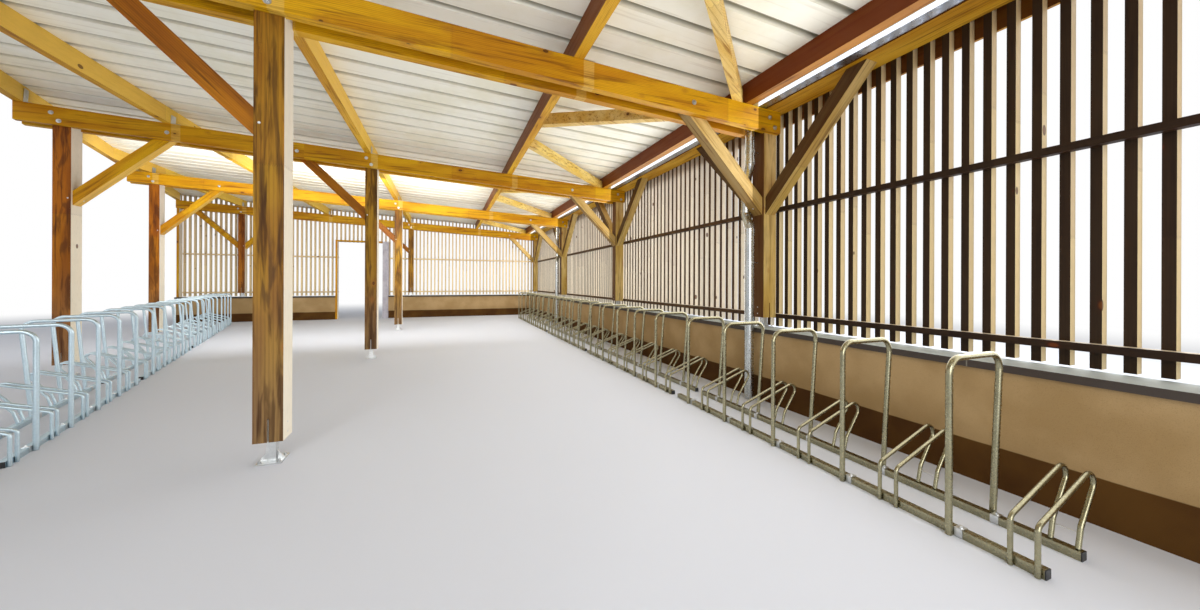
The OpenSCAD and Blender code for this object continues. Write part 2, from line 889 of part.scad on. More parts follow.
module left_racks() {
    for (k = [0:floor(left_row / rack_pitch)]) {
        $places = row_places(left_row, k);
        if ($places > 0)
            translate([left_rack_set - left_line - skew * left_rack_start, left_rack_start, 0])
                rotate([0, 0, skew_angle])
                    translate([0, rack_pitch * k, 0]) mirror([1, 0, 0]) children();
    }
}

module right_rack_rails() {
    color("silver") site() right_racks() rack_rails($places);
}

module right_rack_hoops() {
    color("silver") site() right_racks() rack_hoops($places);
}

module right_rack_holders() {
    color("silver") site() right_racks() rack_holders($places);
}

module left_rack_rails() {
    color("silver") site() left_racks() rack_rails($places);
}

module left_rack_hoops() {
    color("silver") site() left_racks() rack_hoops($places);
}

module left_rack_holders() {
    color("silver") site() left_racks() rack_holders($places);
}

module rack_clamps() {
    color("gray") site() {
        right_racks() rack_saddles($places);
        left_racks() rack_saddles($places);
    }
}

module rack_end_caps() {
    color("black") site() {
        right_racks() rack_caps($places);
        left_racks() rack_caps($places);
    }
}

low_wall_right();
low_wall_far();
coping_right();
coping_far();
centre_posts();
right_posts();
left_posts();
ground_feet();
wall_feet();
tie_beams();
centre_braces();
left_braces();
right_braces();
wall_braces();
edge_purlin();
outer_left_purlin();
left_purlin();
centre_purlin();
right_purlin();
eaves_purlin();
roof_braces();
roof_deck();
wall_plate();
box_gutter();
downpipes();
pipe_brackets();
fascia_board();
edge_capping();
slats_right_1();
slats_right_2();
slats_right_3();
slats_right_4();
slats_far_left();
slats_over_door();
slats_far_right();
door_post();
timber_jambs();
right_rack_rails();
right_rack_hoops();
right_rack_holders();
left_rack_rails();
left_rack_hoops();
left_rack_holders();
rack_clamps();
rack_end_caps();
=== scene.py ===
"""The looks of a four-bay bike shelter: planed timber frames, a ribbed steel roof, slatted sides
on a rendered low wall, and two rows of galvanised bicycle racks."""

import math

import bmesh
import bpy
from mathutils import Matrix, Vector


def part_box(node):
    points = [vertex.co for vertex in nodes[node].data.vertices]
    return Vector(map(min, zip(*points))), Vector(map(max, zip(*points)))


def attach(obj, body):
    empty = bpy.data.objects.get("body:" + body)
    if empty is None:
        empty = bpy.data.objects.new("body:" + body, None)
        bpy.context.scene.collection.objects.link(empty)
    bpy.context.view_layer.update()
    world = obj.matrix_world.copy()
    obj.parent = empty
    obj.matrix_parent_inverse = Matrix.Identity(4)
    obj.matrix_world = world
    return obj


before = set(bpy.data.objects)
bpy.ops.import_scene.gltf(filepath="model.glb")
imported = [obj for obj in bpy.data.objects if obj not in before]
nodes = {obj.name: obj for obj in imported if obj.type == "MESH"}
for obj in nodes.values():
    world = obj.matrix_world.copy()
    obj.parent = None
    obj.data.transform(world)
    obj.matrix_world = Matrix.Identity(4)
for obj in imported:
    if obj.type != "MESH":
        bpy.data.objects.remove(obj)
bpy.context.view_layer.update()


# Low walls. Blockwork, rendered on every face with a lime and sand render that is floated by
# hand, so it is matt, sandy and faintly clouded. The foot is painted with a brown band of
# bitumen paint against splashing water.
MM = 0.001
PLINTH_TOP = 223 * MM
PLINTH_BLUR = 6 * MM
PLINTH_WOBBLE = 12 * MM
SPLASH_H = 160 * MM
SAND_GRAIN = 3 * MM
SAND_DEPTH = 1.2 * MM
FLOAT_SWEEP = 350 * MM
CLOUDED = (0.35, 0.68)  # where the float's sweeps start to show, and are full
SMOOTH = {"interpolation_type": "SMOOTHSTEP"}
COVER, UNDER, OVER = 0, 6, 7  # a Mix node's inputs for colours
COLOURS = {"data_type": "RGBA", "result": 2}  # its setting for colours, and their output


def linear(hex_colour):
    """The linear colour of an sRGB hex value."""
    parts = [int(hex_colour[i : i + 2], 16) / 255 for i in (1, 3, 5)]
    return tuple(c / 12.92 if c <= 0.04045 else ((c + 0.055) / 1.055) ** 2.4 for c in parts) + (1.0,)


def add(tree, kind, inputs=None, result=0, **settings):
    """Adds one node and gives one of its outputs. An input is a value, an sRGB hex colour, or
    the output of another node."""
    node = tree.nodes.new(kind)
    for name, value in settings.items():
        setattr(node, name, value)
    for socket, value in (inputs or {}).items():
        if isinstance(value, bpy.types.NodeSocket):
            tree.links.new(value, node.inputs[socket])
        else:
            node.inputs[socket].default_value = linear(value) if isinstance(value, str) else value
    return node.outputs[result]


def start_finish(name, **constants):
    """A new material, its tree, its shader and the object coordinates."""
    finish = bpy.data.materials.new(name)
    finish.use_nodes = True
    tree = finish.node_tree
    shader = tree.nodes["Principled BSDF"]
    for socket, value in constants.items():
        shader.inputs[socket.replace("_", " ")].default_value = value
    return finish, tree, shader, add(tree, "ShaderNodeTexCoord", result="Object")


def wash(tree, under, over, pattern, low, high, bare=0.0, full=1.0):
    """One colour laid over another, by an amount that follows a pattern between two limits."""
    follow = {"Value": pattern, "From Min": low, "From Max": high, "To Min": bare, "To Max": full}
    cover = add(tree, "ShaderNodeMapRange", follow, **SMOOTH)
    return add(tree, "ShaderNodeMix", {COVER: cover, UNDER: under, OVER: over}, **COLOURS)


def surface(tree, shader, colour, height, strength, depth):
    """Gives a finish its colour, and the relief of a height whose depth is in metres."""
    tree.links.new(colour, shader.inputs["Base Color"])
    relief = {"Height": height, "Strength": strength, "Distance": depth}
    tree.links.new(add(tree, "ShaderNodeBump", relief), shader.inputs["Normal"])


def dress(finish, *names):
    """Gives CAD nodes their finish."""
    for name in names:
        for slot in nodes[name].material_slots:
            slot.material = finish


sand_render, tree, shader, place = start_finish(
    "floated lime render", Roughness=0.93, Specular_IOR_Level=0.2
)
sand = add(tree, "ShaderNodeTexNoise", {"Vector": place, "Scale": 1 / SAND_GRAIN, "Detail": 3.0})
sweep = add(tree, "ShaderNodeTexNoise", {"Vector": place, "Scale": 1 / FLOAT_SWEEP, "Detail": 4.0})
coat = wash(tree, "#9E8258", "#B0946A", sweep, *CLOUDED)
coat = wash(tree, coat, "#75603F", sand, 0.52, 0.72, full=0.35)
level = add(tree, "ShaderNodeSeparateXYZ", {"Vector": place}, "Z")
wobble = add(tree, "ShaderNodeMath", {0: sweep, 1: PLINTH_WOBBLE}, operation="MULTIPLY")
height = add(tree, "ShaderNodeMath", {0: level, 1: wobble}, operation="ADD")
stained = wash(tree, coat, "#876C45", height, PLINTH_TOP, PLINTH_TOP + SPLASH_H, 0.28, 0.0)
band = wash(tree, "#44280A", "#553812", sweep, *CLOUDED)
walling = wash(tree, band, stained, height, PLINTH_TOP, PLINTH_TOP + PLINTH_BLUR)
surface(tree, shader, walling, sand, 0.6, SAND_DEPTH)
dress(sand_render, "low_wall_right", "low_wall_far")


# Copings. Cast stone slabs 1 m long, laid on the walls with a narrow pointed joint. Steel-float
# tops, pale grey tinted bluish as a painted sky reflection; faces not looking up carry painted shade.
SLAB_L = 1000 * MM
JOINT_W = 6 * MM
PROUD = 0.6 * MM
DOOR_SIDES = (100 * MM, 200 * MM)  # no joint is pointed this near to either side of the doorway
CAST_PORE = 5 * MM
CAST_DEPTH = 0.6 * MM
MORTAR_DEPTH = 1 * MM
STONE_CLOUDS = 2.2  # in a metre


def face_up(tree):
    """How far a face looks up: 1 straight up, 0 sideways, -1 straight down."""
    normal = add(tree, "ShaderNodeNewGeometry", result="Normal")
    return add(tree, "ShaderNodeSeparateXYZ", {"Vector": normal}, "Z")


def keep_piece(shape, name, finish):
    """Turns a bmesh into an object that rides on the shelter."""
    mesh = bpy.data.meshes.new(name)
    bmesh.ops.recalc_face_normals(shape, faces=shape.faces)
    shape.to_mesh(mesh)
    shape.free()
    piece = bpy.data.objects.new(name, mesh)
    bpy.context.scene.collection.objects.link(piece)
    piece.data.materials.append(finish)
    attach(piece, "root")


def block(shape, low, high):
    """A box between two corners."""
    low, high = Vector(low), Vector(high)
    put = Matrix.Translation((low + high) / 2) @ Matrix.Diagonal((*(high - low), 1.0))
    bmesh.ops.create_cube(shape, size=1.0, matrix=put)


cast_stone, tree, shader, place = start_finish("cast stone", Roughness=0.62, Specular_IOR_Level=0.3)
pore = add(tree, "ShaderNodeTexNoise", {"Vector": place, "Scale": 1 / CAST_PORE, "Detail": 4.0})
clouds = {"Vector": place, "Scale": STONE_CLOUDS, "Detail": 5.0, "Roughness": 0.65}
# The bluish tones are a painted reflection of the sky.
stone = wash(tree, "#C6D2D4", "#B2BCBE", add(tree, "ShaderNodeTexNoise", clouds), 0.35, 0.7)
stone = wash(tree, stone, "#8C877D", pore, 0.6, 0.75, full=0.5)
# Painted shade: every face that does not look up goes near black brown.
stone = wash(tree, stone, "#2E1C0C", face_up(tree), 0.2, 0.9, 0.95, 0.0)
surface(tree, shader, stone, pore, 0.35, CAST_DEPTH)
dress(cast_stone, "coping_right", "coping_far")

mortar, tree, shader, place = start_finish("pointing mortar", Roughness=0.95)
grit = add(tree, "ShaderNodeTexNoise", {"Vector": place, "Scale": 1 / SAND_GRAIN, "Detail": 3.0})
pointing = add(tree, "ShaderNodeMix", {COVER: grit, UNDER: "#5E584E", OVER: "#8B8478"}, **COLOURS)
surface(tree, shader, pointing, grit, 0.5, MORTAR_DEPTH)

joints = bmesh.new()
low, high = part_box("coping_right")
for k in range(1, int((high.y - low.y) / SLAB_L)):
    y = low.y + k * SLAB_L
    block(
        joints,
        (low.x - PROUD, y - JOINT_W / 2, low.z - PROUD),
        (high.x + PROUD, y + JOINT_W / 2, high.z + PROUD),
    )
door_low, door_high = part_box("slats_over_door")
low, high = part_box("coping_far")
for k in range(1, int((high.x - low.x) / SLAB_L) + 1):
    x = low.x + k * SLAB_L
    if door_low.x - DOOR_SIDES[0] < x < door_high.x + DOOR_SIDES[1]:
        continue
    block(
        joints,
        (x - JOINT_W / 2, low.y - PROUD, low.z - PROUD),
        (x + JOINT_W / 2, high.y + PROUD, high.z + PROUD),
    )
keep_piece(joints, "coping_joints", mortar)


# Posts. Planed glued pine, 150 mm square, oiled a honey brown, with darker latewood lines and
# knots up the post. Faces turned to the slats carry painted light and those turned away painted
# shade, damp greys the feet on the ground, and each post is a little lighter or darker than the next.
RING = 7 * MM
STREAK = 26 * MM
FIBRE = 1.6 * MM
GRAIN_DEPTH = 0.5 * MM
KNOT_CELL = 150 * MM
CURL = 60 * MM
BAND_BLUR = 3 * MM
FINGER_EVERY = 2300 * MM
FINGER_L = 18 * MM
FINGER_PITCH = 12 * MM
FINGER_GLUE = (0.5 * MM, 2.5 * MM)  # from a joint, where its dark line starts to fade, and is gone
DAMP_H = 1300 * MM
BROAD_TONES = 7.0  # in a metre
KNOT_LONG, BROAD_LONG, RING_LONG, STREAK_LONG, FIBRE_LONG = 1.7, 6, 18, 22, 40  # times as long as wide
RING_PULL = (0.03, 0.03, 0)  # how far a knot pulls the rings aside
WAVE_AT_ONE = 0.314  # metres between a Wave node's rings at a scale of 1
LONG = 1e3  # longer than any timber, so that it cuts none
UP = Vector((0, 0, 1))
NO_ANGLE = 1e-4
TURNED = (0.45, 0.95)  # how far a face looks in a direction when its painted light or shade starts, and is full
VECTOR_UNDER, VECTOR_OVER = 4, 5  # a Mix node's inputs for vectors
VECTORS = {"data_type": "VECTOR", "result": 1}  # its setting for vectors, and their output

BEAM_TONES = ("#E0AC10", "#CA8E06", "#7A4402")
# The centre and left posts' tones are darker than the beams', partly for weathering and partly as painted
# shade.
CENTRE_TONES = ("#B4861C", "#8E5E0C", "#3A1E04")
LEFT_TONES = ("#B8700C", "#8E5004", "#401C02")
WALL_SIDE_TONES = ("#E4C880", "#CCAA58", "#74501A")
# Painted light and shade: faces turned to +X, towards the slats, go pale, and faces turned to -X go dark.
PAINTED_LIGHT_RIGHT = ((1, 0, 0), "#F0E8D4", 0.9)
PAINTED_SHADE_LEFT = ((-1, 0, 0), "#4A1C03", 0.9)


def fold(tree, place, start, pitch):
    """Coordinates that run to and fro along Y, for timbers that lean both ways in turn."""
    x, y, z = add(tree, "ShaderNodeSeparateXYZ", {"Vector": place}).node.outputs
    shifted = add(tree, "ShaderNodeMath", {0: y, 1: start}, operation="SUBTRACT")
    folded = add(tree, "ShaderNodeMath", {0: shifted, 1: pitch / 2}, operation="PINGPONG")
    return add(tree, "ShaderNodeCombineXYZ", {"X": x, "Y": folded, "Z": z})


def turn_to_grain(tree, place, grain):
    """Coordinates in which the wood's grain runs along Z."""
    grain = Vector(grain).normalized()
    if grain.angle(UP) < NO_ANGLE:
        return place
    turned = {"Vector": place, "Axis": grain.cross(UP).normalized(), "Angle": grain.angle(UP)}
    return add(tree, "ShaderNodeVectorRotate", turned, rotation_type="AXIS_ANGLE")


def turned_to(tree, direction):
    """How far a face looks in a direction: 1 straight in it, 0 square to it, -1 away from it."""
    facing = {0: add(tree, "ShaderNodeNewGeometry", result="Normal"), 1: direction}
    return add(tree, "ShaderNodeVectorMath", facing, "Value", operation="DOT_PRODUCT")


def single_timbers(tree, place, pieces, start):
    """A random tone for each single timber, and a random move for its grain."""
    offset = add(tree, "ShaderNodeVectorMath", {0: place, 1: start}, operation="SUBTRACT")
    counted = add(tree, "ShaderNodeVectorMath", {0: offset, 1: pieces}, operation="DIVIDE")
    number = add(tree, "ShaderNodeVectorMath", {0: counted}, operation="FLOOR")
    own = add(tree, "ShaderNodeTexWhiteNoise", {"Vector": number}, noise_dimensions="3D").node.outputs
    return own["Value"], own["Color"]


def along_grain(tree, wood, times):
    """The grain's coordinates, in which a pattern comes out so many times as long as wide."""
    return add(tree, "ShaderNodeVectorMath", {0: wood, 1: (1, 1, 1 / times)}, operation="MULTIPLY")


def knots_and_rings(tree, wood):
    """How deep in a knot a point lies, how much the grain bends there, and the grain's rings."""
    cells = {"Vector": along_grain(tree, wood, KNOT_LONG), "Scale": 1 / KNOT_CELL, "Randomness": 1.0}
    knots = add(tree, "ShaderNodeTexVoronoi", cells).node.outputs
    pick = add(tree, "ShaderNodeSeparateColor", {"Color": knots["Color"]})
    size = add(tree, "ShaderNodeMapRange", {"Value": pick, "From Min": 0.25, "To Max": 0.13}, **SMOOTH)
    reach = add(tree, "ShaderNodeMath", {0: size, 1: knots["Distance"]}, operation="SUBTRACT")
    halo = add(tree, "ShaderNodeMapRange", {"Value": reach, "From Min": -0.22, "From Max": 0.02}, **SMOOTH)
    drawn = along_grain(tree, wood, RING_LONG)
    pulled = add(tree, "ShaderNodeVectorMath", {0: drawn, "Scale": halo}, operation="SCALE")
    aside = add(tree, "ShaderNodeVectorMath", {0: pulled, 1: RING_PULL}, operation="MULTIPLY")
    bent = add(tree, "ShaderNodeVectorMath", {0: drawn, 1: aside}, operation="ADD")
    wave = {"Vector": bent, "Scale": WAVE_AT_ONE / RING}
    wavy = {"Distortion": 7.0, "Detail": 2.0, "Detail Scale": 0.12}
    shape = {"wave_type": "RINGS", "rings_direction": "Z", "wave_profile": "SAW"}
    return reach, halo, add(tree, "ShaderNodeTexWave", {**wave, **wavy}, "Fac", **shape)


def finger_joints(tree, wood, every):
    """A random tone for each stave, and the way to the nearest joint between two of them."""
    x, y, z = add(tree, "ShaderNodeSeparateXYZ", {"Vector": wood}).node.outputs
    across = add(tree, "ShaderNodeMath", {0: x, 1: y}, operation="ADD")
    zigzag = add(tree, "ShaderNodeMath", {0: across, 1: FINGER_PITCH / 2}, operation="PINGPONG")
    slant = {0: zigzag, 1: 2 * FINGER_L / FINGER_PITCH, 2: z}
    reached = add(tree, "ShaderNodeMath", slant, operation="MULTIPLY_ADD")
    staves = add(tree, "ShaderNodeMath", {0: reached, 1: every}, operation="DIVIDE")
    count = add(tree, "ShaderNodeMath", {0: staves}, operation="FLOOR")
    stave = add(tree, "ShaderNodeTexWhiteNoise", {"W": count}, "Value", noise_dimensions="1D")
    return stave, add(tree, "ShaderNodeMath", {0: reached, 1: every / 2}, operation="PINGPONG")


def timber(
    name, grain=UP, pieces=(LONG, LONG, LONG), start=(0, 0, 0), folds=None, rails=None,
    tones=BEAM_TONES, sides=(PAINTED_LIGHT_RIGHT, PAINTED_SHADE_LEFT), figure=None, foot=None, bands=(), finger=FINGER_EVERY,
):
    """Planed timber in a pale, a middle and a dark tone. pieces and start set out the single
    timbers. folds gives where the grain starts to lean to and fro along Y, and how often. rails
    gives an axis, and the place on it up to which the timbers are rails with another grain.
    sides gives the painted light and shade of faces by the way they turn, figure the strength and
    the length of dark bands in the grain, foot the heights between which damp fades, bands the
    paler places across the timber, and finger the way between its finger joints, which are drawn
    coarser than the real ones."""
    finish, tree, shader, place = start_finish(name, Specular_IOR_Level=0.2)
    pale, mid, dark = tones
    straight = fold(tree, place, *folds) if folds else place
    wood = turn_to_grain(tree, straight, grain)
    if rails:
        axis, plane, rail_grain = rails
        beside = add(tree, "ShaderNodeSeparateXYZ", {"Vector": place}, axis)
        on_rail = add(tree, "ShaderNodeMath", {0: beside, 1: plane}, operation="LESS_THAN")
        rail_wood = turn_to_grain(tree, straight, rail_grain)
        either = {COVER: on_rail, VECTOR_UNDER: wood, VECTOR_OVER: rail_wood}
        wood = add(tree, "ShaderNodeMix", either, **VECTORS)
    own_tone, move = single_timbers(tree, place, pieces, start)
    wood = add(tree, "ShaderNodeVectorMath", {0: move, 1: wood}, operation="ADD")
    reach, halo, rings = knots_and_rings(tree, wood)
    stave, gap = finger_joints(tree, wood, finger)
    patches = {"Vector": along_grain(tree, wood, BROAD_LONG), "Scale": BROAD_TONES, "Detail": 2.0}
    broad = add(tree, "ShaderNodeTexNoise", patches)
    lines = {"Vector": along_grain(tree, wood, STREAK_LONG), "Scale": 1 / STREAK, "Detail": 4.0}
    streak = add(tree, "ShaderNodeTexNoise", {**lines, "Roughness": 0.62, "Distortion": 0.4})
    threads = {"Vector": along_grain(tree, wood, FIBRE_LONG), "Scale": 1 / FIBRE, "Detail": 2.0}
    fibre = add(tree, "ShaderNodeTexNoise", threads)

    colour = wash(tree, pale, mid, broad, 0.36, 0.64)
    if foot:
        level = add(tree, "ShaderNodeSeparateXYZ", {"Vector": place}, "Z")
        colour = wash(tree, colour, "#7A6248", level, *foot, 0.75, 0.0)
    if figure:
        strength, length = figure
        curl = {"Vector": along_grain(tree, wood, length), "Scale": 1 / CURL, "Detail": 3.0}
        curls = add(tree, "ShaderNodeTexNoise", {**curl, "Distortion": 0.9})
        colour = wash(tree, colour, dark, curls, 0.46, 0.62, full=strength)
    for edges in bands:
        x = add(tree, "ShaderNodeSeparateXYZ", {"Vector": place}, "X")
        blurs = [{"From Min": edge - BAND_BLUR, "From Max": edge + BAND_BLUR} for edge in edges]
        halves = [{"Value": x, "To Max": 0.5, **blur} for blur in blurs]
        begin, end = (add(tree, "ShaderNodeMapRange", half, **SMOOTH) for half in halves)
        within = add(tree, "ShaderNodeMath", {0: begin, 1: end}, operation="SUBTRACT")
        colour = add(tree, "ShaderNodeMix", {COVER: within, UNDER: colour, OVER: "#F0CC66"}, **COLOURS)
    colour = wash(tree, colour, dark, streak, 0.48, 0.72, full=0.8)
    colour = wash(tree, colour, dark, rings, 0.45, 1.0, full=0.3)
    colour = wash(tree, colour, "#A0611F", halo, 0.0, 1.0, full=0.4)
    # Painted light and shade, laid on each face by the way it turns.
    for direction, tone, amount in sides:
        colour = wash(tree, colour, tone, turned_to(tree, direction), *TURNED, full=amount)
    colour = wash(tree, colour, dark, fibre, 0.45, 0.8, full=0.22)
    knot = add(tree, "ShaderNodeMapRange", {"Value": reach, "From Min": -0.01, "From Max": 0.03}, **SMOOTH)
    knot_wood = wash(tree, "#3A1A08", "#6E3A12", reach, 0.02, 0.07)
    colour = wash(tree, colour, knot_wood, knot, 0.0, 1.0, full=0.85)
    colour = wash(tree, colour, dark, gap, *FINGER_GLUE, 0.55, 0.0)
    light = add(tree, "ShaderNodeMath", {0: own_tone, 1: stave}, operation="ADD")
    lighter = {"Value": light, "From Min": 0.2, "From Max": 1.8, "To Min": 0.86, "To Max": 1.1}
    value = add(tree, "ShaderNodeMapRange", lighter, **SMOOTH)
    hue = add(tree, "ShaderNodeMapRange", {"Value": stave, "To Min": 0.493, "To Max": 0.504}, **SMOOTH)
    colour = add(tree, "ShaderNodeHueSaturation", {"Color": colour, "Value": value, "Hue": hue})
    sheen = {"Value": streak, "From Min": 0.3, "From Max": 0.8, "To Min": 0.46, "To Max": 0.62}
    tree.links.new(add(tree, "ShaderNodeMapRange", sheen, **SMOOTH), shader.inputs["Roughness"])
    grown = add(tree, "ShaderNodeMath", {0: rings, 1: fibre}, operation="ADD")
    surface(tree, shader, colour, grown, 0.35, GRAIN_DEPTH)
    return finish


BEAM_PAIR = 250 * MM
BAYS = 4
pair_low, pair_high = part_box("tie_beams")
first_frame = pair_low.y + BEAM_PAIR / 2
bay = (pair_high.y - pair_low.y - BEAM_PAIR) / BAYS
frames = [first_frame + bay * i for i in range(BAYS + 1)]
each_frame = {"pieces": (LONG, bay, LONG), "start": (0, first_frame - bay / 2, 0)}
for name, tones, figure in (
    ("centre_posts", CENTRE_TONES, (0.65, 8.0)),
    ("right_posts", WALL_SIDE_TONES, (0.25, 6.0)),
    ("left_posts", LEFT_TONES, (0.6, 6.0)),
):
    low_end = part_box(name)[0].z
    kind = "oiled pine, " + name.replace("_", " ")
    damp = None if name == "right_posts" else (low_end, low_end + DAMP_H)
    dress(timber(kind, tones=tones, figure=figure, foot=damp, **each_frame), name)


# Post feet. Hot-dip galvanised steel, welded from plate and box section. The zinc has the grey
# crystals of a dipped coat. Four anchors hold each base plate, and two dowels pass through post
# and blade.
SPANGLE = 9 * MM
ZINC_CLOUD = 120 * MM
ZINC_DEPTH = 0.5 * MM
POST = 150 * MM
FOOT_PLATE_T = 8 * MM
ANCHOR_SET = (48 * MM, 52 * MM)  # from the plate's middle, across and along the shelter
ANCHOR = (22 * MM, 17 * MM, 10 * MM)  # the widths of its washer, nut and rod
DOWEL_D = 12 * MM
DOWEL_OUT = 1 * MM
DOWEL_UP = (35 * MM, 95 * MM)
WASHER_T = 3 * MM
NUT_T = 0.45  # of the nut's width
ROD_OUT = 6 * MM
ROD_TIP = 0.8  # of the rod's width
LEFT_LINE = 1076 * MM
LEFT_STEP = 1000 * MM


def zinc(name, pale, grey, roughness, flake=0.3):
    """A dipped zinc coat: crystals that differ in tone and gloss, clouded by age."""
    finish, tree, shader, place = start_finish(name, Metallic=1.0)
    crystal = add(tree, "ShaderNodeTexVoronoi", {"Vector": place, "Scale": 1 / SPANGLE}, "Color")
    tone = add(tree, "ShaderNodeSeparateColor", {"Color": crystal})
    cloud = add(tree, "ShaderNodeTexNoise", {"Vector": place, "Scale": 1 / ZINC_CLOUD, "Detail": 4.0})
    coat = wash(tree, pale, grey, tone, 0.0, 1.0, full=flake)
    coat = wash(tree, coat, grey, cloud, 0.45, 0.75, full=2 * flake)
    gloss = {"Value": tone, "To Min": roughness - 0.03, "To Max": roughness + 0.05}
    tree.links.new(add(tree, "ShaderNodeMapRange", gloss, **SMOOTH), shader.inputs["Roughness"])
    surface(tree, shader, coat, cloud, 0.1, ZINC_DEPTH)
    return finish


def disc(shape, centre, axis, diameter, thickness, sides=12, top=None):
    """A short round bar on a face, its axis pointing out of the face."""
    lie = Vector(axis).to_track_quat("Z", "Y").to_matrix().to_4x4()
    put = Matrix.Translation(Vector(centre) + Vector(axis) * thickness / 2) @ lie
    ends = {"radius1": diameter / 2, "radius2": (top or diameter) / 2, "depth": thickness}
    bmesh.ops.create_cone(shape, cap_ends=True, segments=sides, matrix=put, **ends)


def nut_and_washer(shape, centre, axis, washer, nut, rod):
    """A round washer with a six-sided nut on it and the rod's end standing out."""
    centre, axis = Vector(centre), Vector(axis)
    disc(shape, centre, axis, washer, WASHER_T, 16)
    disc(shape, centre + axis * WASHER_T, axis, nut, nut * NUT_T, 6)
    disc(shape, centre + axis * (WASHER_T + nut * NUT_T), axis, rod, ROD_OUT, 8, rod * ROD_TIP)


def middle_x(name):
    """The middle of a CAD node along X."""
    return sum(corner.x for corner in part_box(name)) / 2


galvanised = zinc("hot-dip galvanised steel", "#D6D8D8", "#A6A9AA", 0.36)
dress(galvanised, "ground_feet", "wall_feet")

centre_x = middle_x("centre_posts")
right_post_x = middle_x("right_posts")
left_first_x = centre_x - LEFT_LINE - LEFT_STEP
end_post_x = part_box("left_posts")[0].x + POST / 2
ground_posts = [(centre_x, y) for y in frames[:-1]]
ground_posts += [(left_first_x - LEFT_STEP * i, y) for i, y in enumerate(frames[1:-1])]
wall_posts = [(right_post_x, y) for y in frames] + [(centre_x, frames[-1]), (end_post_x, frames[-1])]
coping_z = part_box("coping_right")[1].z
ground_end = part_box("centre_posts")[0].z
wall_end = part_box("right_posts")[0].z

anchors = bmesh.new()
for posts, base, end in ((ground_posts, 0.0, ground_end), (wall_posts, coping_z, wall_end)):
    for x, y in posts:
        for side in (-1, 1):
            for end_side in (-1, 1):
                at = (x + side * ANCHOR_SET[0], y + end_side * ANCHOR_SET[1], base + FOOT_PLATE_T)
                nut_and_washer(anchors, at, UP, *ANCHOR)
            for up in DOWEL_UP:
                disc(anchors, (x + side * POST / 2, y, end + up), (side, 0, 0), DOWEL_D, DOWEL_OUT)
keep_piece(anchors, "foot_anchors_and_dowels", galvanised)


# Tie beams. Pairs of planed timbers, 70 x 200 mm, let into both sides of each post head and
# drawn together with galvanised bolts on round washers: two at each post, set on a slant, and
# one through each brace's head. Just beside the purlins the wood is drawn paler.
PALE_BAND_W = 85 * MM
LEVEL_PURLINS = ("outer_left_purlin", "left_purlin", "centre_purlin", "right_purlin")
ROOF_FALL = math.tan(math.radians(2.75))
EAVES = 2707 * MM
BEAM_BOLT = (44 * MM, 26 * MM, 16 * MM)  # the widths of its washer, nut and rod
HIGH_BOLT = (-55 * MM, 72 * MM)  # from the post's middle, and down from the beam's top
LOW_BOLT = (6 * MM, 156 * MM)
BRACE_BOLT_DROP = 112 * MM
BRACE_DEPTH = 115 * MM * math.sqrt(2)
BRACE_FOOT = 1960 * MM
WALL_BRACE_FOOT = 1745 * MM


def roof_z(x):
    """The height of the tie beams' tops."""
    return EAVES + ROOF_FALL * (pair_high.x - x)


def braced_posts(i):
    """A frame's posts: where each stands, which way its brace leans, and how high that starts."""
    posts = [(centre_x, -1, BRACE_FOOT), (right_post_x, -1, WALL_BRACE_FOOT)]
    if i:
        left_x = end_post_x if i == BAYS else left_first_x - LEFT_STEP * (i - 1)
        posts.append((left_x, 1, BRACE_FOOT))
    return posts


def brace_head(x, side, foot):
    """Where a frame brace's centre line passes behind its bolt."""
    rise = foot + BRACE_DEPTH / 2
    reach = (roof_z(x) - BRACE_BOLT_DROP - rise) / (1 + side * ROOF_FALL)
    reach -= side * ROOF_FALL * POST / 2
    return x + side * (POST / 2 + reach)


pale_band_edges = [(x, x + PALE_BAND_W) for x in (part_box(name)[1].x for name in LEVEL_PURLINS)]
each_beam = {"pieces": (LONG, bay / 2, LONG), "start": (0, first_frame, 0)}
dress(timber("oiled pine, tie beams", (1, 0, 0), bands=pale_band_edges, **each_beam), "tie_beams")

bolts = bmesh.new()
for i, y in enumerate(frames):
    posts = braced_posts(i)
    spots = [(x + dx, roof_z(x + dx) - drop) for x, _, _ in posts for dx, drop in (HIGH_BOLT, LOW_BOLT)]
    spots += [(x, roof_z(x) - BRACE_BOLT_DROP) for x in (brace_head(*post) for post in posts)]
    for side in (-1, 1):
        for x, z in spots:
            nut_and_washer(bolts, (x, y + side * BEAM_PAIR / 2, z), (0, side, 0), *BEAM_BOLT)
keep_piece(bolts, "beam_bolts", galvanised)


# Braces. Square-cut struts at 45 degrees, from the posts up between the twin beams, and along
# the slatted wall up to its plate. A long screw from below holds a brace's foot in its post, and
# the head of a second one shows on the post's front.
DARK_TONES = ("#B47008", "#905204", "#4A2400")
# Painted light and shade: the braces' faces turned to +X go pale, the wall braces' faces turned to -X go
# near black.
BRACE_SIDES = (((1, 0, 0), "#F0CC70", 0.85), PAINTED_SHADE_LEFT)
WALL_BRACE_SIDES = (PAINTED_LIGHT_RIGHT, ((-1, 0, 0), "#381804", 0.92))
SCREW_D = 16 * MM
SCREW_HEAD_T = 1.5 * MM
SCREW_TOP = 0.7  # of the head's width
FOOT_SCREW = 60 * MM
SCREW_IN = 27 * MM
SCREW_UP = 77 * MM
for name, lean, tones in (
    ("centre_braces", (-1, 0, 1), DARK_TONES),
    ("right_braces", (-1, 0, 1), WALL_SIDE_TONES),
    ("left_braces", (1, 0, 1), BEAM_TONES),
):
    kind = "oiled pine, " + name.replace("_", " ")
    dress(timber(kind, lean, tones=tones, sides=BRACE_SIDES, **each_frame), name)
wall_brace_wood = timber(
    "oiled pine, wall braces", (0, 1, 1), folds=(first_frame, bay),
    tones=WALL_SIDE_TONES, sides=WALL_BRACE_SIDES, **each_beam,
)
dress(wall_brace_wood, "wall_braces")

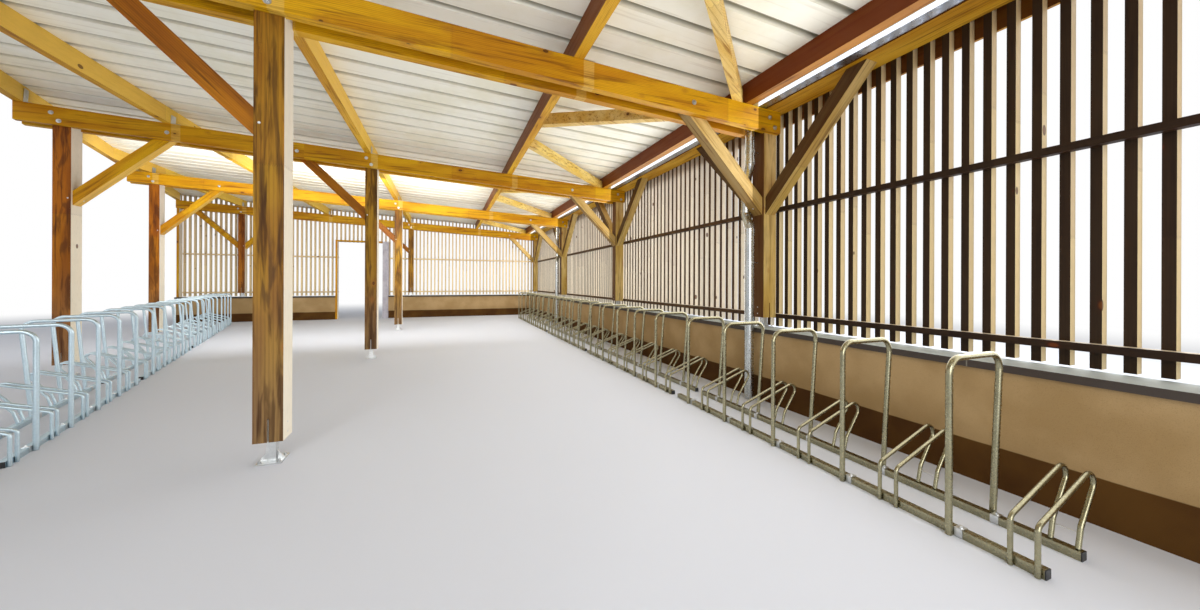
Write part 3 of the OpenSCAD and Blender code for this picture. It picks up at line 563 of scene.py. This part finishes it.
brace_screws = bmesh.new()
for i, y in enumerate(frames):
    for x, side, foot in braced_posts(i):
        under = Vector((side, 0, -1)).normalized()
        at = (x + side * (POST / 2 + FOOT_SCREW), y, foot + FOOT_SCREW)
        disc(brace_screws, at, under, SCREW_D, SCREW_HEAD_T)
    for x, side, foot in braced_posts(i):
        at = (x + side * (POST / 2 - SCREW_IN), y - POST / 2, foot + SCREW_UP)
        disc(brace_screws, at, (0, -1, 0), SCREW_D, SCREW_HEAD_T, 12, SCREW_D * SCREW_TOP)
keep_piece(brace_screws, "brace_screws", galvanised)


# Purlins and roof braces. Planed timbers, 80 x 180 mm, laid on the tie beams and butted over
# them, with flat braces between the two on the slatted side. The outer edge purlin follows the
# skewed end of the beams.
PURLIN_W = 80 * MM
PURLIN_H = 180 * MM
PALE_PINE = ("#E8B832", "#D09A12", "#83500A")
EAVES_PINE = ("#B8801C", "#A26C0C", "#5E3204")
# Painted light and shade: purlin faces turned to +X go pale, those turned to -X dark.
PURLIN_SIDES = (((1, 0, 0), "#F6CE58", 0.85), ((-1, 0, 0), "#6A2C04", 0.88))
BRACE_PINE = ("#F2D684", "#E4BE5C", "#8E5C14")
BRACE_GRAIN = (0.87, 0.5, 0)
# Painted shade on the roof braces' faces turned to -X.
BRACE_DARK_SIDE = ((-1, 0, 0), "#6A2C04", 0.85)
BRACE_FINGER = 1100 * MM
skew = LEFT_STEP / bay
skew_angle = math.atan(skew)
along_edge = (-math.sin(skew_angle), math.cos(skew_angle), 0)
two_bays = (LONG, 2 * bay, LONG)
for name, grain, start, tones in (
    ("edge_purlin", along_edge, frames[0], PALE_PINE),
    ("outer_left_purlin", (0, 1, 0), frames[1], PALE_PINE),
    ("left_purlin", (0, 1, 0), frames[0], PALE_PINE),
    ("centre_purlin", (0, 1, 0), frames[1], PALE_PINE),
    ("right_purlin", (0, 1, 0), frames[0], PALE_PINE),
    ("eaves_purlin", (0, 1, 0), frames[1], EAVES_PINE),
):
    kind = "oiled pine, " + name.replace("_", " ")
    dress(timber(kind, grain, two_bays, (0, start, 0), tones=tones, sides=PURLIN_SIDES), name)
flat_brace_wood = timber(
    "pale pine, roof braces", BRACE_GRAIN, tones=BRACE_PINE,
    sides=(BRACE_DARK_SIDE,), finger=BRACE_FINGER, **each_beam,
)
dress(flat_brace_wood, "roof_braces")


# Angle plates. Folded galvanised plates that keep the wind from lifting the roof, nailed to the
# right side of each purlin but the eaves purlin, and down on to the near beam of each pair. The
# edge purlin has larger ones.
PLATE_L = 90 * MM
EDGE_PLATE_L = 130 * MM
PLATE_H = 105 * MM
PLATE_T = 2.5 * MM
PLATE_SET = 35 * MM
PLATE_GAP = 0.3 * MM
NAILS = 5
NAIL_D = 7 * MM
NAIL_OUT = 1 * MM
FIRST_NAIL = 22 * MM
NAIL_PITCH = 18 * MM
NAIL_OFF = 25 * MM
edge_low, edge_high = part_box("edge_purlin")
outer_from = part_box("outer_left_purlin")[0].y


def edge_inner_x(y):
    """The inner face of the skewed edge purlin."""
    outer_face = edge_low.x + (edge_high.y - y) * skew
    return outer_face + PURLIN_W / math.cos(skew_angle)


plates = bmesh.new()
tilt = Matrix.Rotation(math.atan(ROOF_FALL), 4, "Y")
for y in frames:
    near = y - BEAM_PAIR / 2 + PLATE_SET
    faces = [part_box(name)[1].x for name in ("left_purlin", "centre_purlin", "right_purlin")]
    if y > outer_from:
        faces.append(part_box("outer_left_purlin")[1].x)
    rows = [(x, 0.0, PLATE_L) for x in faces] + [(edge_inner_x(near), skew_angle, EDGE_PLATE_L)]
    for x, turn, reach in rows:
        before = set(plates.verts)
        block(plates, (0, -PLATE_L / 2, 0), (PLATE_T, PLATE_L / 2, PLATE_H * reach / PLATE_L))
        block(plates, (PLATE_T, -PLATE_L / 2, 0), (reach, PLATE_L / 2, PLATE_T))
        for k in range(NAILS):
            along = FIRST_NAIL + NAIL_PITCH * k
            for side in (-1, 1):
                disc(plates, (PLATE_T, side * NAIL_OFF, along), (1, 0, 0), NAIL_D, NAIL_OUT, 8)
                disc(plates, (along, side * NAIL_OFF, PLATE_T), (0, 0, 1), NAIL_D, NAIL_OUT, 8)
        fresh = [corner for corner in plates.verts if corner not in before]
        spin = Matrix.Rotation(turn, 4, "Z")
        put = Matrix.Translation((x + PLATE_GAP, near, roof_z(x) + PLATE_GAP)) @ spin @ tilt
        bmesh.ops.transform(plates, matrix=put, verts=fresh)
keep_piece(plates, "purlin_angle_plates", galvanised)


# Roof deck. Trapezoidal steel sheet, coil-coated cream white, with its ribs down the fall and
# their hollows in shade from below. Self-drilling screws with sealing washers hold each rib to
# each purlin.
RIB_PITCH = 280 * MM
RIB_BASE = 65 * MM
RIB_H = 40 * MM
DECK_T = 3 * MM
HOLLOW = (4 * MM, 36 * MM)  # above the purlins, where the shade in a rib starts, and is full
PEEL = 6 * MM
PEEL_DEPTH = 0.3 * MM
DUST_CLOUDS = 1.4  # in a metre
RUNS = (1.2, 24.0, 1.0)  # in a metre, along each axis
SEAL_D = 16 * MM
SEAL_T = 1.5 * MM
HEX_D = 9 * MM
HEX_T = 4 * MM

coated, tree, shader, place = start_finish("coil-coated steel, cream white", Roughness=0.38)
dust = {"Vector": place, "Scale": DUST_CLOUDS, "Detail": 6.0, "Roughness": 0.62}
run = add(tree, "ShaderNodeVectorMath", {0: place, 1: RUNS}, operation="MULTIPLY")
streaks = add(tree, "ShaderNodeTexNoise", {"Vector": run, "Scale": 1.0, "Detail": 3.0})
sheet = wash(tree, "#F6F4E6", "#EBE6CE", add(tree, "ShaderNodeTexNoise", dust), 0.4, 0.7, full=0.8)
sheet = wash(tree, sheet, "#B5AB93", streaks, 0.55, 0.75, full=0.35)
square_up = {0: place, 1: (ROOF_FALL, 0.0, 1.0)}
level = add(tree, "ShaderNodeVectorMath", square_up, "Value", operation="DOT_PRODUCT")
bottom, top = (roof_z(0) + PURLIN_H + rise for rise in HOLLOW)
hollow = add(tree, "ShaderNodeMapRange", {"Value": level, "From Min": bottom, "From Max": top}, **SMOOTH)
below = {"Value": face_up(tree), "From Min": -0.2, "From Max": 0.3, "To Min": 0.75, "To Max": 0.0}
shade = {0: hollow, 1: add(tree, "ShaderNodeMapRange", below, **SMOOTH)}
shaded = add(tree, "ShaderNodeMath", shade, operation="MULTIPLY")
sheet = add(tree, "ShaderNodeMix", {COVER: shaded, UNDER: sheet, OVER: "#7C745E"}, **COLOURS)
peel = add(tree, "ShaderNodeTexNoise", {"Vector": place, "Scale": 1 / PEEL, "Detail": 1.0})
surface(tree, shader, sheet, peel, 0.08, PEEL_DEPTH)
dress(coated, "roof_deck")

deck_low, deck_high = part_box("roof_deck")
ribs = math.floor((deck_high.y - deck_low.y - RIB_BASE) / RIB_PITCH)
first_rib = (deck_low.y + deck_high.y - ribs * RIB_PITCH) / 2
rib_top = PURLIN_H + (RIB_H + DECK_T) / math.cos(math.atan(ROOF_FALL))
out_of_roof = Vector((ROOF_FALL, 0, 1)).normalized()
purlin_xs = [middle_x(name) for name in ("left_purlin", "centre_purlin", "right_purlin", "eaves_purlin")]
screws = bmesh.new()
for k in range(ribs + 1):
    y = first_rib + k * RIB_PITCH
    rows = purlin_xs + [edge_inner_x(y) - PURLIN_W / 2]
    if y > outer_from:
        rows.append(middle_x("outer_left_purlin"))
    for x in rows:
        at = Vector((x, y, roof_z(x) + rib_top))
        disc(screws, at, out_of_roof, SEAL_D, SEAL_T, 10)
        disc(screws, at + out_of_roof * SEAL_T, out_of_roof, HEX_D, HEX_T, 6)
keep_piece(screws, "deck_screws", galvanised)


# Wall plate, fascia board, box gutter and capping. The plate is nailed to the beam ends; beside
# it hangs a box gutter, folded from zinc in lengths that are soldered together, bright below,
# and a folded galvanised cap covers the tops of the plate, the slats and the board.
WEATHERED = ((1, 0, 0), "#B08A52", 0.7)
RIPPLE = 140 * MM
RIPPLE_DEPTH = 2 * MM
DULL_SPOT = 18 * MM
GUTTER_L = 3000 * MM
SEAM_W = 30 * MM
SEAM_UP = 0.2 * MM
plate_wood = timber("oiled pine, wall plate", (0, 1, 0), two_bays, (0, frames[0], 0), tones=PALE_PINE)
dress(plate_wood, "wall_plate")
board_wood = timber(
    "oiled pine, fascia board", (0, 1, 0), two_bays, (0, frames[1], 0), sides=(WEATHERED, PAINTED_SHADE_LEFT)
)
dress(board_wood, "fascia_board")

bright_zinc, tree, shader, place = start_finish("folded zinc sheet", Metallic=1.0)
ripple = add(tree, "ShaderNodeTexNoise", {"Vector": place, "Scale": 1 / RIPPLE, "Detail": 2.0})
spots = add(tree, "ShaderNodeTexNoise", {"Vector": place, "Scale": 1 / DULL_SPOT, "Detail": 4.0})
dull = {"Value": spots, "From Min": 0.3, "From Max": 0.8, "To Min": 0.26, "To Max": 0.42}
tree.links.new(add(tree, "ShaderNodeMapRange", dull, **SMOOTH), shader.inputs["Roughness"])
sheet = add(tree, "ShaderNodeMix", {COVER: ripple, UNDER: "#EDF1F6", OVER: "#A9B6C8"}, **COLOURS)
surface(tree, shader, sheet, ripple, 0.15, RIPPLE_DEPTH)
dress(bright_zinc, "box_gutter")
dress(galvanised, "edge_capping")

gutter_low, gutter_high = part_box("box_gutter")
seams = bmesh.new()
for k in range(1, int((gutter_high.y - gutter_low.y) / GUTTER_L) + 1):
    y = gutter_low.y + k * GUTTER_L
    block(
        seams,
        (gutter_low.x - PROUD, y - SEAM_W / 2, gutter_low.z - PROUD),
        (gutter_high.x + PROUD, y + SEAM_W / 2, gutter_low.z + SEAM_UP),
    )
keep_piece(seams, "gutter_seams", bright_zinc)


# Downpipes. Round zinc pipes, each hung from the gutter by a collar and held to its post by two
# brackets, which a screw on either side closes.
PIPE_D = 85 * MM
PIPE_FRAMES = (1, 3)
COLLAR_D = PIPE_D + 10 * MM
COLLAR_H = 12 * MM
BRACKETS_Z = (2330 * MM, 1280 * MM)
BRACKET_MIDDLE = 12 * MM
BRACKET_OUT = 3 * MM
BRACKET_SCREW_D = 14 * MM
BRACKET_SCREW_L = 10 * MM
dress(zinc("zinc pipe", "#C2C5C4", "#A0A4A5", 0.26), "downpipes", "pipe_brackets")

pipe_x = (gutter_low.x + gutter_high.x) / 2
collars = bmesh.new()
for y in (frames[i] for i in PIPE_FRAMES):
    disc(collars, (pipe_x, y, gutter_low.z - COLLAR_H), UP, COLLAR_D, COLLAR_H, 32)
    for z in BRACKETS_Z:
        for side in (-1, 1):
            at = (pipe_x, y + side * (PIPE_D / 2 + BRACKET_OUT), z + BRACKET_MIDDLE)
            disc(collars, at, (0, side, 0), BRACKET_SCREW_D, BRACKET_SCREW_L, 6)
keep_piece(collars, "pipe_collars_and_screws", galvanised)


# Slatted sides. Square-edged slats, 40 x 50 mm, stained darker brown than the frames, screwed
# from outside to two rails and to the plate. Their sides and the rails' tops carry painted light
# from between the slats, their inner faces and the rails' undersides painted shade.
SLAT_PITCH = 106 * MM
SLAT_W = 40 * MM
SLAT_T = 50 * MM
SLAT_GAP = SLAT_PITCH - SLAT_W
RAIL_H = 40 * MM
LOW_RAIL = 766 * MM
MID_RAIL = 1777 * MM
HEAD_D = 9 * MM
HEAD_OUT = 0.8 * MM
HEAD_OFF = 9 * MM
SLAT_TONES = ("#9C7748", "#7E5930", "#3E2612")
# Painted light for the slats' sides, brighter in the far bays, and painted shade for their inner faces.
SIDE_PAINTED_LIGHT = "#E6D2A2"
SIDE_PAINTED_LIGHT_BRIGHT = "#FFF6E2"
INNER_PAINTED_SHADE = "#1C1006"
# Painted light on the tops of rails and slats, painted shade on their undersides.
RAIL_TOP_PAINTED_LIGHT = ((0, 0, 1), "#F4EBD6", 0.9)
RAIL_UNDER_PAINTED_SHADE = ((0, 0, -1), "#2A180A", 0.9)
# Painted light on the far slats' sides and on their faces turned to the open end.
FAR_PAINTED_LIGHT_SIDES = (((-1, 0, 0), SIDE_PAINTED_LIGHT, 0.85), ((1, 0, 0), SIDE_PAINTED_LIGHT, 0.85), ((0, -1, 0), "#EED6A4", 0.9))

first_slat = frames[0] - POST / 2
slat_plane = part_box("slats_right_1")[1].x - SLAT_T
# The near bay's inner faces get deeper painted shade (0.94 against 0.7) and its sides duller painted light
# than the other bays'.
for kind, depth, pale, names in (
    ("stained pine, near slats", 0.94, SIDE_PAINTED_LIGHT, ("slats_right_1",)),
    ("stained pine, right slats", 0.7, SIDE_PAINTED_LIGHT_BRIGHT, ("slats_right_2", "slats_right_3", "slats_right_4")),
):
    painted_light_sides = (((0, -1, 0), pale, 0.92), ((0, 1, 0), pale, 0.92))
    slat_wood = timber(
        kind, pieces=(LONG, SLAT_PITCH, LONG), start=(0, first_slat - SLAT_GAP / 2, 0),
        rails=("X", slat_plane, (0, 1, 0)), tones=SLAT_TONES,
        sides=painted_light_sides + (((-1, 0, 0), INNER_PAINTED_SHADE, depth), RAIL_TOP_PAINTED_LIGHT, RAIL_UNDER_PAINTED_SHADE),
    )
    dress(slat_wood, *names)
far_low, far_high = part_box("slats_far_left")
far_plane = far_high.y - SLAT_T
far_slat_wood = timber(
    "stained pine, far slats", pieces=(SLAT_PITCH, LONG, LONG),
    start=(slat_plane - SLAT_W - SLAT_GAP / 2, 0, 0),
    rails=("Y", far_plane, (1, 0, 0)), tones=SLAT_TONES, sides=FAR_PAINTED_LIGHT_SIDES,
)
dress(far_slat_wood, "slats_far_left", "slats_over_door", "slats_far_right")

rail_middles = (LOW_RAIL + RAIL_H / 2, MID_RAIL + RAIL_H / 2)
slat_screws = bmesh.new()
for k in range(int((far_plane - SLAT_W - first_slat) / SLAT_PITCH) + 1):
    y = first_slat + SLAT_PITCH * k + SLAT_W / 2
    for z in rail_middles:
        for dy in (-HEAD_OFF, HEAD_OFF):
            disc(slat_screws, (slat_plane + SLAT_T, y + dy, z), (1, 0, 0), HEAD_D, HEAD_OUT, 8)
for k in range(int((slat_plane - far_low.x) / SLAT_PITCH)):
    x = slat_plane - SLAT_W / 2 - SLAT_PITCH * k
    over_door = door_low.x < x < door_high.x
    for z in (door_low.z + RAIL_H / 2,) if over_door else rail_middles:
        for dx in (-HEAD_OFF, HEAD_OFF):
            disc(slat_screws, (x + dx, far_plane + SLAT_T, z), (0, 1, 0), HEAD_D, HEAD_OUT, 8)
keep_piece(slat_screws, "slat_screws", galvanised)


# Doorway. The post on the right of the opening is painted mauve grey with a brush, the jamb and
# the head are plain pine like the frames.
BRUSH = (220.0, 220.0, 6.0)  # strokes in a metre, along each axis
BRUSH_DEPTH = 0.3 * MM
WORN_CLOUDS = 9.0  # in a metre
painted, tree, shader, place = start_finish("brushed gloss paint, mauve grey", Roughness=0.42)
strokes = add(tree, "ShaderNodeVectorMath", {0: place, 1: BRUSH}, operation="MULTIPLY")
brushed = add(tree, "ShaderNodeTexNoise", {"Vector": strokes, "Scale": 1.0, "Detail": 3.0})
worn = add(tree, "ShaderNodeTexNoise", {"Vector": place, "Scale": WORN_CLOUDS, "Detail": 6.0})
paint = wash(tree, "#B4B0B8", "#A19CA6", worn, 0.35, 0.7)
paint = wash(tree, paint, "#86818C", brushed, 0.5, 0.8, full=0.3)
surface(tree, shader, paint, brushed, 0.2, BRUSH_DEPTH)
dress(painted, "door_post")
dress(timber("oiled pine, jambs"), "timber_jambs")


# Bicycle racks. Galvanised steel: square rails on the ground, round tubes bent cold into wheel
# holders and leaning hoops, joined to the rails by saddles with one bolt each. Black plastic
# caps close the rails' ends.
RACK_KINDS = ("rails", "hoops", "holders")
SADDLE_BOLT_D = 15 * MM
SADDLE_BOLT_H = 7 * MM
SADDLE_BOLT_TOP = 0.6  # of the bolt's width
SADDLE_WASHER_D = 24 * MM
SADDLE_WASHER_T = 2 * MM
SAME_CORNER = 0.01 * MM
THIN_TIE = 10 * MM
MOULD_GRAIN = 1.5 * MM
MOULD_DEPTH = 0.2 * MM
SCUFFS = 60.0  # in a metre


def saddle_tops():
    """The middle of each saddle's top, from the solids of the clamps. The thin ties are passed by."""
    shape = bmesh.new()
    shape.from_mesh(nodes["rack_clamps"].data)
    bmesh.ops.remove_doubles(shape, verts=shape.verts, dist=SAME_CORNER)
    waiting = set(shape.verts)
    tops = []
    while waiting:
        border = [waiting.pop()]
        corners = []
        while border:
            corner = border.pop()
            corners.append(corner.co.copy())
            near = {edge.other_vert(corner) for edge in corner.link_edges} & waiting
            waiting -= near
            border += near
        low, high = ([end(c[k] for c in corners) for k in range(3)] for end in (min, max))
        if high[2] - low[2] > THIN_TIE:
            top = ((low[0] + high[0]) / 2, (low[1] + high[1]) / 2, high[2])
            tops.append(tuple(round(c, 6) for c in top))
    shape.free()
    return sorted(tops)


# The right-hand tubes are olive grey as a painted reflection of the brown walls and slats around them, the
# left-hand ones pale blue as a painted reflection of the sky.
tube_painted_dark_reflection = zinc("galvanised tube, painted_dark_reflection", "#9A957A", "#726D58", 0.28, 0.2)
dress(tube_painted_dark_reflection, *["right_rack_" + kind for kind in RACK_KINDS])
tube_painted_sky_reflection = zinc("galvanised tube, bright", "#BFD0D8", "#98ACB7", 0.42, 0.12)
dress(tube_painted_sky_reflection, *["left_rack_" + kind for kind in RACK_KINDS])
dress(galvanised, "rack_clamps")

saddle_bolts = bmesh.new()
for top in saddle_tops():
    disc(saddle_bolts, top, UP, SADDLE_WASHER_D, SADDLE_WASHER_T)
    on_washer = Vector(top) + UP * SADDLE_WASHER_T
    disc(saddle_bolts, on_washer, UP, SADDLE_BOLT_D, SADDLE_BOLT_H, 8, SADDLE_BOLT_D * SADDLE_BOLT_TOP)
keep_piece(saddle_bolts, "rack_saddle_bolts", galvanised)

moulded, tree, shader, place = start_finish("moulded black polyethylene", Roughness=0.5)
scuffed = add(tree, "ShaderNodeTexNoise", {"Vector": place, "Scale": SCUFFS, "Detail": 5.0})
mould = add(tree, "ShaderNodeTexNoise", {"Vector": place, "Scale": 1 / MOULD_GRAIN, "Detail": 2.0})
black = wash(tree, "#17181A", "#34353A", scuffed, 0.5, 0.75)
surface(tree, shader, black, mould, 0.2, MOULD_DEPTH)
dress(moulded, "rack_end_caps")


# The studio: a plain pale floor that fades to white far off, with white all round. Outside, soft
# lamps light the shelter from the slatted side, the open end, the left and above. Inside, they
# stand for the light that falls between the slats, off the floor and on the far wall.
FLOOR_HALF = 60.0
FADE = (8.8, 17.0)  # how far off the floor starts to fade, and is white
WHITE = "#FFFFFF"
AMBIENT = 0.36
LAMPS = (
    # name, place, target, size, watts
    ("sky_side_lamp", (11.0, -1.0, 4.5), (3.0, -0.5, 1.2), (12.0, 6.0), 750),
    ("slat_light", (4.44, 0.0, 1.75), (0.0, 0.0, 1.75), (14.0, 2.1), 170),
    ("open_end_lamp", (0.0, -11.5, 3.0), (0.8, -2.0, 1.8), (5.0, 5.0), 420),
    ("left_side_lamp", (-9.0, -2.0, 3.5), (0.0, 1.0, 1.5), (7.0, 7.0), 30),
    ("floor_bounce", (0.3, 0.0, 0.02), (0.3, 0.001, 3.0), (8.0, 14.0), 70),
    ("far_lamp", (-0.3, 1.2, 2.45), (-0.3, 7.0, 1.2), (5.0, 0.5), 110),
    ("top_lamp", (0.0, 0.0, 9.5), (0.0, 0.001, 3.0), (10.0, 14.0), 450),
)

floor_shape = bmesh.new()
bmesh.ops.create_grid(floor_shape, x_segments=1, y_segments=1, size=FLOOR_HALF)
floor_mesh = bpy.data.meshes.new("studio_floor")
floor_shape.to_mesh(floor_mesh)
floor_shape.free()
studio_floor = bpy.data.objects.new("studio_floor", floor_mesh)
bpy.context.scene.collection.objects.link(studio_floor)
pale_floor, tree, shader, place = start_finish("pale studio floor", Roughness=0.8)
shader.inputs["Base Color"].default_value = linear("#D7DCE7")
away = add(tree, "ShaderNodeVectorMath", {0: place}, "Value", operation="LENGTH")
limits = {"Value": away, "From Min": FADE[0], "From Max": FADE[1]}
far_off = add(tree, "ShaderNodeMapRange", limits, **SMOOTH)
camera_ray = add(tree, "ShaderNodeLightPath", result="Is Camera Ray")
fade = add(tree, "ShaderNodeMath", {0: far_off, 1: camera_ray}, operation="MULTIPLY")
white = add(tree, "ShaderNodeEmission", {"Color": WHITE, "Strength": 1.0})
faded = add(tree, "ShaderNodeMixShader", {0: fade, 1: shader.outputs[0], 2: white})
tree.links.new(faded, tree.nodes["Material Output"].inputs["Surface"])
studio_floor.data.materials.append(pale_floor)

for name, place, target, size, watts in LAMPS:
    light = bpy.data.lights.new(name, "AREA")
    light.shape = "RECTANGLE"
    light.size, light.size_y = size
    light.energy = watts
    lamp = bpy.data.objects.new(name, light)
    bpy.context.scene.collection.objects.link(lamp)
    lamp.location = place
    lamp.rotation_euler = (Vector(target) - Vector(place)).to_track_quat("-Z", "Y").to_euler()
    lamp.visible_camera = False

world = bpy.data.worlds.new("studio")
bpy.context.scene.world = world
world.use_nodes = True
tree = world.node_tree
ambient = tree.nodes["Background"]
ambient.inputs["Color"].default_value = linear(WHITE)
ambient.inputs["Strength"].default_value = AMBIENT
seen = add(tree, "ShaderNodeBackground", {"Color": WHITE, "Strength": 1.0})
rays = add(tree, "ShaderNodeLightPath").node.outputs
glossy = {0: rays["Is Camera Ray"], 1: rays["Is Glossy Ray"]}
either = add(tree, "ShaderNodeMath", glossy, operation="MAXIMUM")
glassy = {0: either, 1: rays["Is Transmission Ray"]}
direct = add(tree, "ShaderNodeMath", glassy, operation="MAXIMUM")
surrounds = add(tree, "ShaderNodeMixShader", {0: direct, 1: ambient.outputs[0], 2: seen})
tree.links.new(surrounds, tree.nodes["World Output"].inputs["Surface"])


# The camera stands in the first bay, between the centre posts and the right-hand racks, 1.1 m
# above the ground. Its lens and heading follow the photograph's posts and beams, and the horizon
# lies a little above the picture's middle.
EYE = Vector((1.7606, -6.484, 1.10))
HEADING = -0.372
ROLL = 0.0038
SENSOR = 36.0
CLIP_START = 0.05
FRAME_W = 1200
FOCAL_PX = 396.28
HORIZON_PX = 282.1
MIDDLE_PX = 305
camera_data = bpy.data.cameras.new("camera")
camera_data.sensor_width = SENSOR
camera_data.lens = FOCAL_PX / FRAME_W * SENSOR
camera_data.shift_y = (HORIZON_PX - MIDDLE_PX) / FRAME_W
camera_data.clip_start = CLIP_START
camera = bpy.data.objects.new("camera", camera_data)
bpy.context.scene.collection.objects.link(camera)
look = Matrix.Rotation(HEADING, 4, "Z") @ Matrix.Rotation(math.pi / 2, 4, "X")
camera.matrix_world = Matrix.Translation(EYE) @ look @ Matrix.Rotation(ROLL, 4, "Z")
bpy.context.scene.camera = camera

bpy.context.scene.view_settings.view_transform = "Standard"
